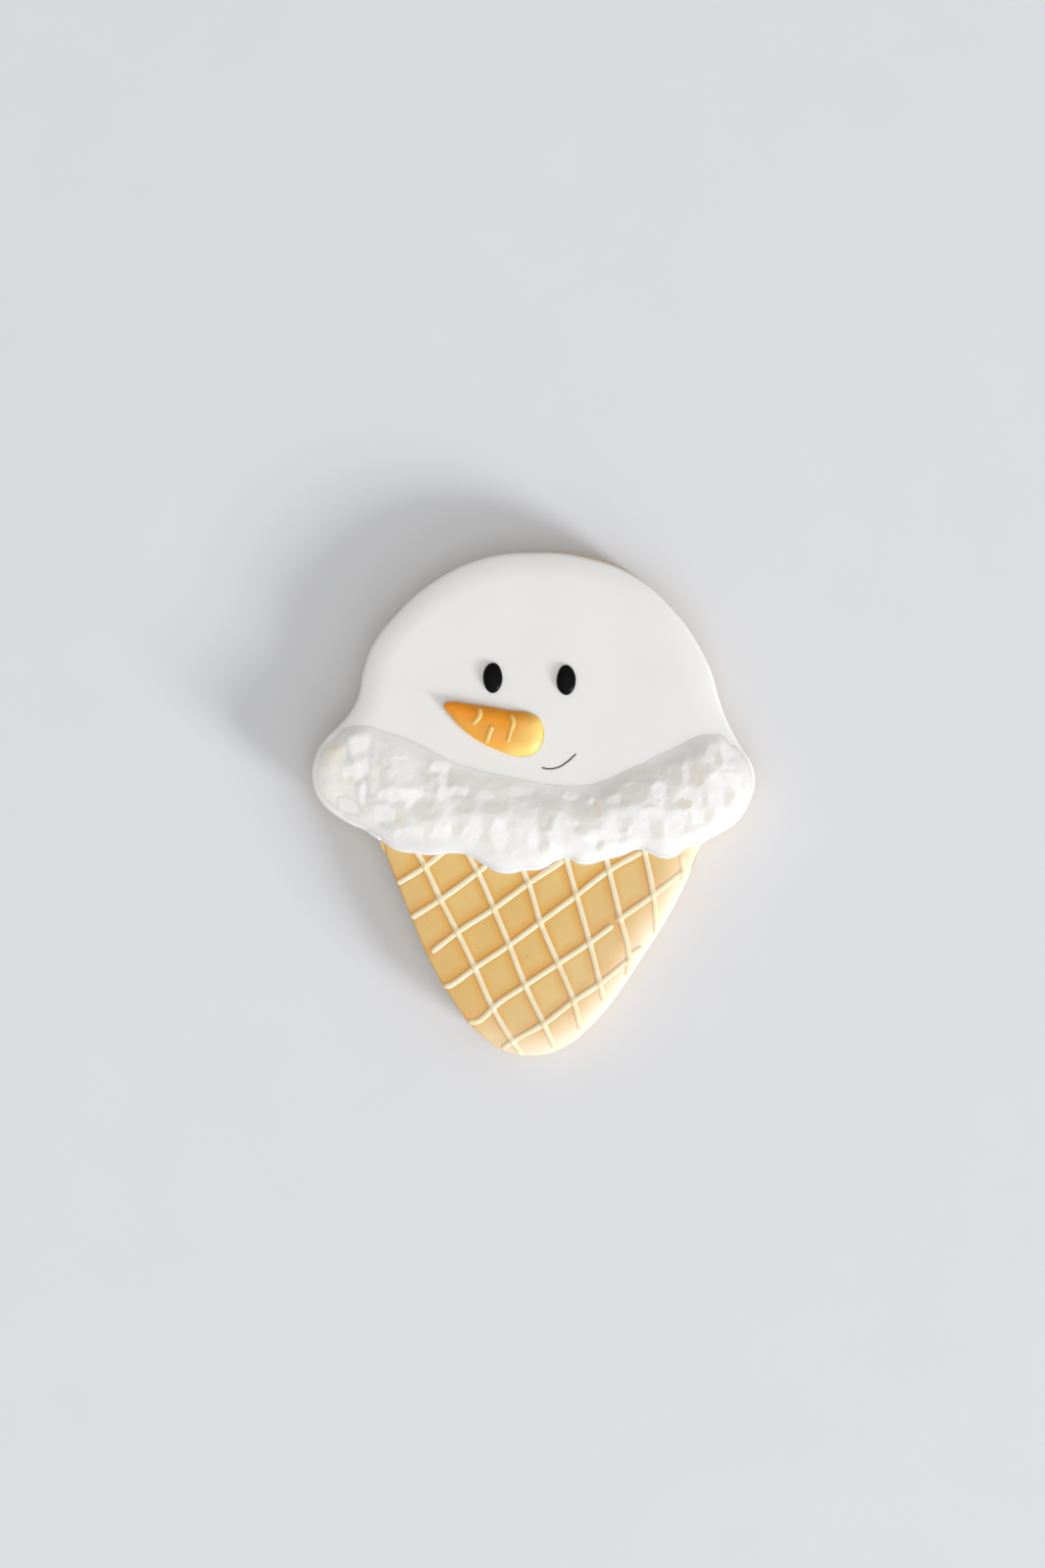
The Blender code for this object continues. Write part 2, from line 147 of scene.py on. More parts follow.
lens = bpy.data.cameras.new("camera")
lens.sensor_width = SENSOR
lens.lens = SENSOR * CAMERA_HEIGHT / (PHOTO_SIZE[1] * PHOTO_SCALE)
lens.clip_start = 10.0 * MM
camera = bpy.data.objects.new("camera", lens)
camera.location = ((PHOTO_SIZE[0] / 2.0 - BISCUIT_IN_PHOTO[0]) * PHOTO_SCALE * MM,
                   (BISCUIT_IN_PHOTO[1] - PHOTO_SIZE[1] / 2.0) * PHOTO_SCALE * MM,
                   (FACE_HEIGHT + CAMERA_HEIGHT) * MM)
bpy.context.scene.collection.objects.link(camera)
bpy.context.scene.camera = camera

# The baked biscuit.
# A slab of rolled butter dough, cut with one cutter and baked pale. Its top edge is softly rounded,
# its cut wall shows the crumb, and its foot and underside are browned by the baking sheet.
SCOOP_LEFT = ((0.1, 50.0), (-10.8, 48.6), (-20.6, 43.7), (-27.4, 37.6), (-31.9, 31.8),
              (-33.8, 26.7), (-34.9, 21.3), (-36.6, 18.0), (-39.1, 15.2))
LEFT_LOBE = ((-41.4, 12.9), (-43.4, 9.3), (-43.9, 4.5), (-42.4, 0.6), (-38.2, -3.0), (-33.3, -5.4))
CONE_SIDES = ((-30.4, -7.1), (-29.1, -10.6), (-25.3, -20.2), (-20.8, -30.8), (-16.4, -38.5),
              (-11.1, -45.3), (-6.3, -48.8), (0.1, -50.0), (5.6, -48.6), (10.8, -44.8),
              (16.8, -37.8), (21.3, -31.0), (26.3, -23.2), (30.6, -14.9), (32.6, -9.6))
RIGHT_LOBE = ((33.5, -7.9), (36.4, -6.1), (40.1, -3.8), (42.7, 0.1), (43.9, 4.6), (43.0, 8.6),
              (41.3, 11.2))
SCOOP_RIGHT = ((38.8, 15.8), (36.8, 21.1), (35.3, 26.3), (33.0, 31.2), (27.7, 38.7), (19.6, 45.6),
               (10.2, 49.0))
EDGE_STEP = 0.4
RING_CLEARANCE = 0.93
GRID_CLEARANCE = 0.6
BISCUIT_TOP = 6.5
BISCUIT_INSET = 0.6
BISCUIT_PEEK = 1.15
PEEK_ANGLE = math.radians(70)
PEEK_SHARPNESS = 12
SCOOP_MIDDLE = (0.0, 13.0)
# How far in and how high the edge is, from the top down to the base
BISCUIT_EDGE = ((1.5, 6.50), (1.0, 6.42), (0.6, 6.25), (0.3, 6.0), (0.12, 5.65), (0.04, 5.3),
                (0.0, 4.9), (0.0, 4.5), (0.0, 4.1), (0.0, 3.7), (0.0, 3.3), (0.0, 2.9), (0.0, 2.5),
                (0.0, 2.1), (0.0, 1.7), (0.02, 1.3), (0.06, 0.95), (0.15, 0.6), (0.32, 0.3),
                (0.6, 0.1), (1.0, 0.0))
BISCUIT_TOP_GRID = 3.0
BISCUIT_BASE_GRID = 0.8
# The size and the height of the waves, grain and pits in the dough
DOUGH_WAVE = (5.0, 0.16)
DOUGH_GRAIN = (0.9, 0.10)
DOUGH_PIT = (1.1, 0.30)
PIT_START = 0.32
PIT_SPAN = 0.4
PIT_SHIFT = Vector((7.0, 3.0, 5.0))
FOOT_HEIGHT = 0.4
BASE_FACING = -0.7
BASE_SUNK = 0.02


def evenly(line, spacing, closed=False):
    """The same line with its points an even distance apart."""
    line = np.asarray(line, float)
    if closed:
        line = np.vstack([line, line[:1]])
    run = np.concatenate([[0.0], np.cumsum(np.linalg.norm(np.diff(line, axis=0), axis=1))])
    at = np.linspace(0.0, run[-1], max(round(run[-1] / spacing), 2) + 1)
    if closed:
        at = at[:-1]
    return np.column_stack([np.interp(at, run, line[:, side]) for side in (0, 1)])


def smooth_line(knots, spacing, closed=False):
    """Evenly spaced points along a smooth curve through the given knots."""
    curve = bpy.data.curves.new("guide", "CURVE")
    curve.dimensions = "3D"
    spline = curve.splines.new("BEZIER")
    spline.bezier_points.add(len(knots) - 1)
    spline.use_cyclic_u = closed
    for point, (x, y) in zip(spline.bezier_points, knots):
        point.co = (x, y, 0.0)
        point.handle_left_type = "AUTO"
        point.handle_right_type = "AUTO"
    guide = bpy.data.objects.new("guide", curve)
    bpy.context.scene.collection.objects.link(guide)
    graph = bpy.context.evaluated_depsgraph_get()
    mesh = bpy.data.meshes.new_from_object(guide.evaluated_get(graph))
    line = [vertex.co[:2] for vertex in mesh.vertices]
    bpy.data.objects.remove(guide, do_unlink=True)
    bpy.data.meshes.remove(mesh)
    return evenly(line, spacing, closed)


def shifted(line, amount, closed=True):
    """A line moved sideways, inwards where it runs counterclockwise round a piece."""
    if closed:
        along = np.roll(line, -1, axis=0) - np.roll(line, 1, axis=0)
    else:
        along = np.gradient(line, axis=0)
    along /= np.linalg.norm(along, axis=1)[:, None]
    return line + np.column_stack([-along[:, 1], along[:, 0]]) * np.reshape(amount, (-1, 1))


def distance(places, line, closed=False):
    """How far each place lies from a line of evenly spaced points."""
    tree = kdtree.KDTree(len(line))
    for index, point in enumerate(line):
        tree.insert((*point, 0.0), index)
    tree.balance()
    nearest = np.array([tree.find((*place, 0.0))[1] for place in places])
    start = line[nearest]
    best = np.linalg.norm(places - start, axis=1)
    for step in (-1, 1):
        other = (nearest + step) % len(line) if closed else np.clip(nearest + step, 0, len(line) - 1)
        side = line[other] - start
        length = np.maximum((side * side).sum(1), 1e-9)
        share = np.clip(((places - start) * side).sum(1) / length, 0.0, 1.0)
        best = np.minimum(best, np.linalg.norm(places - start - share[:, None] * side, axis=1))
    return best


def inside(places, loop):
    """Whether each place lies inside a closed line."""
    end = np.roll(loop, -1, axis=0)
    rise = end[:, 1] - loop[:, 1]
    rise[rise == 0.0] = 1e-12
    found = []
    at_once = 5000
    for block in np.array_split(places, len(places) // at_once + 1):
        across = (loop[:, 1] > block[:, 1:]) != (end[:, 1] > block[:, 1:])
        meets = loop[:, 0] + (block[:, 1:] - loop[:, 1]) / rise * (end[:, 0] - loop[:, 0])
        found.append((across & (block[:, :1] < meets)).sum(axis=1) % 2 == 1)
    return np.concatenate(found)


def spread(loop, rings, spacing):
    """Points that fill a loop: rings that follow its edge, then an even grid in staggered rows."""
    low = loop.min(axis=0)
    high = loop.max(axis=0)
    row_step = spacing * math.sqrt(3.0) / 2.0
    row_count = int((high[1] - low[1]) / row_step) + 1
    rows, columns = np.mgrid[0:row_count, 0:int((high[0] - low[0]) / spacing) + 1]
    grid = np.column_stack([(low[0] + (columns + 0.5 * (rows % 2)) * spacing).ravel(),
                            (low[1] + rows * row_step).ravel()])
    chosen = []
    last = 0.0
    for depth in rings:
        ring = evenly(shifted(loop, depth), max(EDGE_STEP, min(depth - last, spacing)), closed=True)
        clear = distance(ring, loop, closed=True) > RING_CLEARANCE * depth
        chosen.append(ring[inside(ring, loop) & clear])
        last = depth
    clear = distance(grid, loop, closed=True) > last + GRID_CLEARANCE * spacing
    return np.vstack(chosen + [grid[inside(grid, loop) & clear]])


def fill(loop, inner):
    """Triangles that fill a loop and use the points inside it, by the points' places in the list."""
    places = [Vector(place) for place in np.vstack([loop, inner])]
    border = [(index, (index + 1) % len(loop)) for index in range(len(loop))]
    inside_only = 1
    merge_distance = 1e-6
    _, _, faces, origins, _, _ = delaunay_2d_cdt(places, border, [], inside_only, merge_distance)
    return [[origins[corner][0] for corner in face] for face in faces]


def body_mesh(name, rings, over, under):
    """A closed mesh from rings that run round it, top edge first, and the points of both faces."""
    count = len(rings[0])
    faces = fill(rings[0][:, :2], over[:, :2])
    first_over = count * len(rings)
    faces = [[corner if corner < count else corner - count + first_over for corner in face]
             for face in faces]
    for level in range(len(rings) - 1):
        for index in range(count):
            after = (index + 1) % count
            upper = level * count
            lower = upper + count
            faces.append([lower + index, lower + after, upper + after, upper + index])
    last_ring = count * (len(rings) - 1)
    first_under = first_over + len(over)
    for face in fill(rings[-1][:, :2], under[:, :2]):
        faces.append([corner + last_ring if corner < count else corner - count + first_under
                      for corner in reversed(face)])
    mesh = bpy.data.meshes.new(name)
    mesh.from_pydata(np.vstack([*rings, over, under]) * MM, [], faces)
    mesh.shade_smooth()
    return mesh


def raised(places, height):
    """Places in the plane with a height, or with one height each."""
    return np.column_stack([places, np.broadcast_to(height, len(places))])


def add_piece(name, mesh, finish):
    """A piece of the biscuit with its finish, standing where its mesh says."""
    mesh.materials.clear()
    mesh.materials.append(finish)
    piece = bpy.data.objects.new(name, mesh)
    bpy.context.scene.collection.objects.link(piece)
    return piece


def grained(tree, shader, grain, strength, depth):
    """Raise a shader's surface with a grain, at most so many millimetres deep."""
    values = {"Strength": strength, "Distance": depth * MM, "Height": grain}
    tree.links.new(add_node(tree, "ShaderNodeBump", values)["Normal"], shader.inputs["Normal"])


def shaded(tree, colour, share, low, high, dark, light):
    """A colour that goes from dark to light as a share goes from low to high."""
    values = {"Value": share, "From Min": low, "From Max": high, "To Min": dark, "To Max": light}
    shade = add_node(tree, "ShaderNodeMapRange", values)["Result"]
    values = {0: colour, "Scale": shade}
    return add_node(tree, "ShaderNodeVectorMath", values, operation="SCALE")["Vector"]


def biscuit_finish():
    """Pale baked dough, browner at its foot and underside, with dark and light crumbs."""
    finish, tree, shader = new_finish("baked_biscuit", 0.8, 0.25, 0.12, (1.2, 0.7, 0.3))
    height = add_node(tree, "ShaderNodeSeparateXYZ", {"Vector": place_on(tree)})["Z"]
    values = {0: patches(tree, 140.0, 5.0), 1: 3.5 * MM, 2: height}
    wander = add_node(tree, "ShaderNodeMath", values, operation="MULTIPLY_ADD")["Value"]
    values = {"Value": wander, "From Min": 1.0 * MM, "From Max": 8.0 * MM}
    share = add_node(tree, "ShaderNodeMapRange", values)["Result"]
    colour = tone_between(tree, share, (0.0, (0.48, 0.285, 0.130)), (0.35, (0.67, 0.505, 0.310)),
                          (1.0, (0.72, 0.580, 0.400)))
    crumbs = patches(tree, 1500.0, 4.0)
    tree.links.new(shaded(tree, colour, crumbs, 0.3, 0.7, 0.84, 1.10), shader.inputs["Base Color"])
    grained(tree, shader, crumbs, 0.5, 0.1)
    return finish


def crumbled(mesh):
    """Press waves, grain and small pits into the baked dough, and keep its base flat."""
    roughness, gap, octaves = 0.8, 2.0, 3
    for vertex, normal in zip(mesh.vertices, [Vector(n.vector) for n in mesh.vertex_normals]):
        place = vertex.co / MM
        wave = DOUGH_WAVE[1] * noise.noise(place / DOUGH_WAVE[0])
        grain = DOUGH_GRAIN[1] * noise.fractal(place / DOUGH_GRAIN[0], roughness, gap, octaves)
        hole = max(noise.noise(place / DOUGH_PIT[0] + PIT_SHIFT) - PIT_START, 0.0) / PIT_SPAN
        pit = DOUGH_PIT[1] * hole
        flat = min(place.z / FOOT_HEIGHT, 1.0)
        along = Vector((normal.x, normal.y, normal.z * flat)) * (wave + grain - pit)
        if place.z < FOOT_HEIGHT and normal.z < BASE_FACING:
            along.z = max(pit - grain - BASE_SUNK, 0.0)
        vertex.co += along * MM
        vertex.co.z = max(vertex.co.z, 0.0)


whole_cutter = SCOOP_LEFT + LEFT_LOBE + CONE_SIDES + RIGHT_LOBE + SCOOP_RIGHT
outline = smooth_line(whole_cutter, EDGE_STEP, closed=True)
away = outline - SCOOP_MIDDLE
facing = np.maximum(np.cos(np.arctan2(away[:, 1], away[:, 0]) - PEEK_ANGLE), 0.0)
biscuit_edge = shifted(outline, BISCUIT_INSET - BISCUIT_PEEK * facing ** PEEK_SHARPNESS)
biscuit_rings = [raised(shifted(biscuit_edge, inset), height) for inset, height in BISCUIT_EDGE]
over = raised(spread(biscuit_rings[0][:, :2], (), BISCUIT_TOP_GRID), BISCUIT_TOP)
under = raised(spread(biscuit_rings[-1][:, :2], (), BISCUIT_BASE_GRID), 0.0)
biscuit_mesh = body_mesh("baked_biscuit", biscuit_rings, over, under)
crumbled(biscuit_mesh)
biscuit = add_piece("baked_biscuit", biscuit_mesh, biscuit_finish())
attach(biscuit, "root")
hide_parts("biscuit")

# The tan icing on the cone.
# Thinned tan icing is flooded over the cone and runs a little way under the white. It dries to a
# level satin skin that rolls down to the biscuit at its edge, with a few tiny specks.
HEM = ((-30.4, -7.1), (-27.8, -9.0), (-23.4, -9.9), (-20.3, -10.2), (-16.0, -9.8), (-13.3, -10.2),
       (-10.0, -12.1), (-7.1, -13.6), (-4.5, -13.8), (-2.2, -13.3), (1.5, -13.0), (5.4, -11.0),
       (6.9, -11.0), (8.9, -11.9), (11.0, -12.0), (14.3, -11.1), (17.2, -10.4), (21.1, -9.1),
       (23.0, -9.9), (25.6, -10.8), (28.1, -10.4), (30.2, -8.8), (33.5, -7.9))
ICING_BASE = 6.45
ICING_BASE_GRID = 6.0
EDGE_ROLL = 0.45
SAG_POWER = 2.4
CONE_HEIGHT = 8.7
CONE_ROLL = 7.0
CONE_SAG = (0.12, 1.75)
CONE_DROP = 0.45
CONE_MIDDLE = (0.0, -20.0)
# The icing slumps towards this side of the cone, as far round as the range says
CONE_SLUMP = math.radians(-40)
CONE_SLUMP_RANGE = (0.05, 0.75)
# How far in from the edge the tan is paler, and what share of its paleness that gives: some where the
# icing thins at its edge, most as a painted highlight towards the lit lower right
CONE_THIN_EDGE_AND_PAINTED_HIGHLIGHT = ((6.5, 0.68), (18.0, 0.32))
# The share of the paleness kept at the left, where it is only the icing thinning; towards the lower
# right it is mostly painted highlight
CONE_THIN_AT_LEFT = 0.05
# The size, height and seed of the icing's unevenness
CONE_SWELL = (7.0, 0.07, 2.0)
CONE_UNDER_WHITE = ((33.3, -6.2), (31.0, -5.0), (28.0, -5.6), (22.0, -6.6), (11.0, -9.0), (5.0, -8.6),
                    (-3.0, -10.8), (-8.0, -10.0), (-14.0, -7.4), (-22.0, -7.2), (-26.6, -5.4),
                    (-29.2, -5.2), (-30.4, -6.4))
CONE_RINGS = (0.03, 0.09, 0.18, 0.32, 0.5, 0.8, 1.2, 1.7, 2.3)
CONE_GRID = 0.45
# How far in each ring of the icing's edge is, and its share of the edge's height
ICING_SKIRT = ((0.0, 0.7), (0.06, 0.42), (0.2, 0.2), (0.45, 0.06), (0.9, 0.0))


def stretch(loop, start, end):
    """The part of a closed line from near one place to near another."""
    first = np.linalg.norm(loop - start, axis=1).argmin()
    last = np.linalg.norm(loop - end, axis=1).argmin()
    if last < first:
        last += len(loop)
    return loop[np.arange(first, last + 1) % len(loop)]


def rounded(share):
    """A quarter round: steep where the share is 0, level from 1 on."""
    return np.sqrt(1.0 - (1.0 - np.clip(share, 0.0, 1.0)) ** 2)


def settled(depth, roll, sag, drop):
    """How far icing lies below its level near its edge: a long sag, then a steep rounded drop."""
    long_sag = sag * (1.0 - np.clip(depth / roll, 0.0, 1.0)) ** SAG_POWER
    return long_sag + drop * (1.0 - rounded(depth / EDGE_ROLL))


def eased(value, start, end):
    """0 below the start, 1 above the end, and a smooth change between them."""
    share = np.clip((value - start) / (end - start), 0.0, 1.0)
    return share * share * (3.0 - 2.0 * share)


def swell(places, size, amount, seed):
    """A gentle unevenness, as icing shows once it has settled and dried."""
    return np.array([amount * noise.noise(Vector((x / size, y / size, seed))) for x, y in places])


def icing_body(name, loop, rings, grid, height):
    """A closed layer of icing over a loop, turned in underneath like a thick drop's edge."""
    inner = spread(loop, rings, grid)
    edge = height(loop)
    turned_in = [raised(shifted(loop, inset), ICING_BASE + share * (edge - ICING_BASE))
                 for inset, share in ICING_SKIRT]
    base = raised(spread(turned_in[-1][:, :2], (), ICING_BASE_GRID), ICING_BASE)
    return body_mesh(name, [raised(loop, edge)] + turned_in, raised(inner, height(inner)), base)


def slumped(places):
    """How much the tan icing slumps at each place: not at all at the left, fully at the lower right."""
    away = places - CONE_MIDDLE
    return eased(np.cos(np.arctan2(away[:, 1], away[:, 0]) - CONE_SLUMP), *CONE_SLUMP_RANGE)


def cone_height(places):
    """The tan icing's surface."""
    sag = CONE_SAG[0] + (CONE_SAG[1] - CONE_SAG[0]) * slumped(places)
    level = CONE_HEIGHT - settled(distance(places, cone_line), CONE_ROLL, sag, CONE_DROP)
    return level + swell(places, *CONE_SWELL)


def turning(tree, colour, attribute, other):
    """A colour that turns into another one as far as an attribute of the mesh says."""
    share = add_node(tree, "ShaderNodeAttribute", {}, attribute_name=attribute)["Fac"]
    blend = tree.nodes.new("ShaderNodeMix")
    blend.data_type = "RGBA"
    before, after = (socket for socket in blend.inputs if socket.type == "RGBA")
    after.default_value = (*other, 1.0)
    tree.links.new(share, blend.inputs["Factor"])
    tree.links.new(colour, before)
    return next(socket for socket in blend.outputs if socket.type == "RGBA")


def tan_finish():
    """Tan icing with sparse fine specks, a painted shadow next to the piped lines and a little painted
    shade at the left, and paler towards its edge where the icing thins, mostly a painted highlight at
    the lower right.
    """
    finish, tree, shader = new_finish("tan_icing", 0.45, 0.8, 0.35, (0.8, 0.6, 0.4))
    colour = tone_between(tree, patches(tree, 90.0, 4.0),
                          (0.3, (0.765, 0.490, 0.138)), (0.7, (0.820, 0.575, 0.198)))
    # Painted shadow: deeper amber next to the lines, most on the side away from the light, and a little
    # at the left
    colour = turning(tree, colour, "painted_line_shadow", (0.800, 0.405, 0.055))
    # Paler where the icing thins at its edge, and a painted highlight towards the lit lower right
    colour = turning(tree, colour, "thin_edge_and_painted_highlight", (0.925, 0.785, 0.610))
    values = {"Vector": place_on(tree), "Scale": 230.0}
    specks = add_node(tree, "ShaderNodeTexVoronoi", values)["Distance"]
    tree.links.new(shaded(tree, colour, specks, 0.03, 0.06, 0.72, 1.0), shader.inputs["Base Color"])
    return finish


hem = smooth_line(HEM, EDGE_STEP)
cone_line = stretch(outline, CONE_SIDES[0], RIGHT_LOBE[0])
cone_loop = smooth_line(CONE_SIDES[1:] + CONE_UNDER_WHITE, EDGE_STEP, closed=True)
cone_mesh = icing_body("tan_icing", cone_loop, CONE_RINGS, CONE_GRID, cone_height)
cone_places = np.array([vertex.co[:2] for vertex in cone_mesh.vertices]) / MM
from_edge = distance(cone_places, cone_line)
# Paleness near the edge: the icing thinning there, and towards the lower right mostly a painted
# highlight
thin_edge_and_painted_highlight = sum(share * eased(reach - from_edge, 0.0, reach) for reach, share in CONE_THIN_EDGE_AND_PAINTED_HIGHLIGHT)
thin_edge_and_painted_highlight *= CONE_THIN_AT_LEFT + (1.0 - CONE_THIN_AT_LEFT) * slumped(cone_places)
cone_mesh.attributes.new("thin_edge_and_painted_highlight", "FLOAT", "POINT").data.foreach_set("value", thin_edge_and_painted_highlight)
tan = tan_finish()
cone_icing = add_piece("tan_icing", cone_mesh, tan)
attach(cone_icing, "root")
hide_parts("cone_icing")

# The piped waffle lines.
# Stiff pale icing is piped through a fine round tip, the shallow lines first and the steep ones
# over them, so the steep ones rise where they cross. Each line thins and thickens a little.
# Width, height, lift above what it lies on, and unevenness
PIPED_LINE = (1.12, 0.36, 0.06, 0.35)
PIPED_STEP = 0.2
PIPED_SIDES = 12
# Painted shadow: the tan is painted deeper next to the lines, most on the side away from the light, and
# painted shade a little at the left
PAINTED_LINE_SHADOW = 0.9
PAINTED_SHADOW_RANGE = (0.5, 2.3)
PAINTED_SHADOW_SHIFT = (0.45, -0.35)
PAINTED_SHADE_AT_LEFT = 0.1
PAINTED_SHADE_LEFT_RANGE = (4.0, 18.0)
SHALLOW_LINES = (
    ((-27.1, -15.8), (-21.8, -12.5), (-18.5, -10.0), (-17.2, -8.8)),
    ((-24.3, -22.6), (-18.5, -18.9), (-11.1, -13.5), (-9.4, -12.1), (-8.2, -11.2)),
    ((-20.3, -29.4), (-15.0, -25.3), (-8.2, -20.9), (-1.2, -15.8), (6.0, -11.0), (7.1, -10.0)),
    ((-18.1, -36.0), (-16.8, -36.0), (-15.2, -35.1), (-11.7, -32.5), (-5.1, -28.1), (1.3, -23.4),
     (8.3, -18.2), (14.7, -13.3), (21.5, -9.4), (22.7, -8.6)),
    ((-13.3, -43.0), (-11.5, -43.2), (-9.6, -42.0), (-8.0, -40.3), (-1.8, -36.0), (4.4, -31.9),
     (11.0, -27.5), (15.7, -24.0)),
    ((16.4, -23.2), (23.4, -18.2), (29.5, -13.3)),
    ((-6.3, -48.5), (-4.0, -46.9), (1.9, -43.6), (7.3, -39.5), (13.3, -35.4), (18.8, -30.8)),
    ((19.4, -29.6), (21.5, -28.3)),
)
STEEP_LINES = (
    ((-24.0, -8.3), (-23.2, -9.6), (-21.8, -11.9), (-18.5, -18.9), (-15.0, -25.7), (-11.7, -32.5),
     (-8.2, -40.3), (-4.3, -46.9), (-2.2, -49.8)),
    ((-13.5, -8.8), (-12.9, -10.2), (-11.1, -13.5), (-8.0, -20.5), (-4.9, -27.9), (-1.6, -36.2),
     (1.9, -43.4), (4.2, -48.5)),
    ((-2.6, -11.7), (-2.0, -13.5), (-1.0, -15.8), (1.3, -23.4), (4.8, -31.6), (7.9, -39.1),
     (9.3, -45.0)),
    ((6.1, -9.6), (6.5, -11.2), (8.5, -18.2), (11.0, -27.1), (13.1, -35.6), (13.9, -39.3)),
    ((14.1, -9.8), (14.5, -11.4), (14.9, -13.1), (17.2, -22.6), (18.8, -29.8), (18.4, -34.1)),
    ((21.5, -7.7), (21.9, -9.2), (23.6, -17.4), (24.1, -22.6), (24.1, -25.7)),
    ((29.3, -10.2), (29.5, -12.3), (29.5, -15.1)),
)


def piping_tree():
    """The rule for icing piped along a line: it lies on a surface, uneven and round ended."""
    tree = bpy.data.node_groups.new("piped icing line", "GeometryNodeTree")
    sockets = tree.interface
    sockets.new_socket(name="Path", in_out="INPUT", socket_type="NodeSocketGeometry")
    for name, kind in (("Surface", "Object"), ("Width", "Float"), ("Height", "Float"), ("Step", "Float"),
                       ("Lift", "Float"), ("Unevenness", "Float"), ("Seed", "Float"),
                       ("Finish", "Material")):
        sockets.new_socket(name=name, in_out="INPUT", socket_type=f"NodeSocket{kind}")
    sockets.new_socket(name="Piping", in_out="OUTPUT", socket_type="NodeSocketGeometry")

    def add(kind, values, **settings):
        return add_node(tree, kind, values, **settings)

    def reckon(operation, first, second=0.0):
        return add("ShaderNodeMath", {0: first, 1: second}, operation=operation)["Value"]

    given = tree.nodes.new("NodeGroupInput").outputs
    values = {"Curve": given["Path"], "Length": given["Step"]}
    line = add("GeometryNodeResampleCurve", values, mode="LENGTH")["Curve"]

    # Let every point down onto the surface, then ease the drops
    surface = add("GeometryNodeObjectInfo", {"Object": given["Surface"]}, transform_space="RELATIVE")
    place = add("GeometryNodeInputPosition", {})["Position"]
    start = add("ShaderNodeVectorMath", {0: place, 1: (0.0, 0.0, 50.0 * MM)})["Vector"]
    ray = add("GeometryNodeRaycast", {"Target Geometry": surface["Geometry"], "Source Position": start,
                                      "Ray Direction": (0.0, 0.0, -1.0), "Ray Length": 100.0 * MM})
    drop = add("ShaderNodeSeparateXYZ", {"Vector": ray["Hit Position"]})["Z"]
    ease = add("GeometryNodeBlurAttribute", {"Iterations": 5, "Value": drop})["Value"]
    highest = reckon("MAXIMUM", ease, drop)
    calm = add("GeometryNodeBlurAttribute", {"Iterations": 2, "Value": highest})["Value"]
    flat = add("ShaderNodeSeparateXYZ", {"Vector": place})
    down = {"X": flat["X"], "Y": flat["Y"], "Z": reckon("ADD", calm, given["Lift"])}
    down = add("ShaderNodeCombineXYZ", down)["Vector"]
    line = add("GeometryNodeSetPosition", {"Geometry": line, "Position": down})["Geometry"]

    # Thin and thicken the line, and round its ends
    values = {"Vector": place, "W": given["Seed"], "Scale": 330.0}
    wander = add("ShaderNodeTexNoise", values, noise_dimensions="4D")["Fac"]
    swing = reckon("MULTIPLY", reckon("SUBTRACT", wander, 0.5), given["Unevenness"])
    along = add("GeometryNodeSplineParameter", {})["Length"]
    whole = add("GeometryNodeSplineLength", {})["Length"]
    from_end = reckon("MINIMUM", along, reckon("SUBTRACT", whole, along))
    half_width = reckon("MULTIPLY", given["Width"], 0.5)
    left = reckon("SUBTRACT", 1.0, reckon("MINIMUM", reckon("DIVIDE", from_end, half_width), 1.0))
    blunt = reckon("SQRT", reckon("SUBTRACT", 1.0, reckon("MULTIPLY", left, left)))
    girth = reckon("MULTIPLY", reckon("ADD", swing, 1.0), reckon("MAXIMUM", blunt, 0.15))

    # Press it out as a low oval, and close its ends
    tip = add("GeometryNodeCurvePrimitiveCircle", {"Resolution": PIPED_SIDES, "Radius": 1.0})["Curve"]
    size = {"X": half_width, "Y": reckon("MULTIPLY", given["Height"], 0.5), "Z": 1.0}
    size = add("ShaderNodeCombineXYZ", size)["Vector"]
    oval = add("GeometryNodeTransform", {"Geometry": tip, "Scale": size})["Geometry"]
    upright = add("GeometryNodeSetCurveNormal", {"Curve": line}, mode="Z_UP")["Curve"]
    values = {"Curve": upright, "Profile Curve": oval, "Scale": girth, "Fill Caps": True}
    icing = add("GeometryNodeCurveToMesh", values)["Mesh"]
    icing = add("GeometryNodeSetShadeSmooth", {"Geometry": icing})["Geometry"]
    icing = add("GeometryNodeRealizeInstances", {"Geometry": icing})["Geometry"]
    icing = add("GeometryNodeSetMaterial", {"Geometry": icing, "Material": given["Finish"]})["Geometry"]
    add("NodeGroupOutput", {"Piping": icing})
    return tree


def pipe(name, lines, surface, finish, size, seed):
    """Lines of icing piped onto a surface, as one plain mesh."""
    width, height, lift, unevenness = size
    curve = bpy.data.curves.new(name, "CURVE")
    curve.dimensions = "3D"
    for line in lines:
        spline = curve.splines.new("BEZIER")
        spline.bezier_points.add(len(line) - 1)
        for knot, (x, y) in zip(spline.bezier_points, line):
            knot.co = (x * MM, y * MM, 0.0)
            knot.handle_left_type = "AUTO"
            knot.handle_right_type = "AUTO"
    path = bpy.data.objects.new(name, curve)
    bpy.context.scene.collection.objects.link(path)
    rule = path.modifiers.new("piping", "NODES")
    rule.node_group = piping
    values = {"Surface": surface, "Width": width * MM, "Height": height * MM, "Step": PIPED_STEP * MM,
              "Lift": lift * MM, "Unevenness": unevenness, "Seed": seed, "Finish": finish}
    for socket in piping.interface.items_tree:
        if socket.name in values:
            rule[socket.identifier] = values[socket.name]
    graph = bpy.context.evaluated_depsgraph_get()
    mesh = bpy.data.meshes.new_from_object(path.evaluated_get(graph))
    bpy.data.objects.remove(path, do_unlink=True)
    return add_piece(name, mesh, finish)


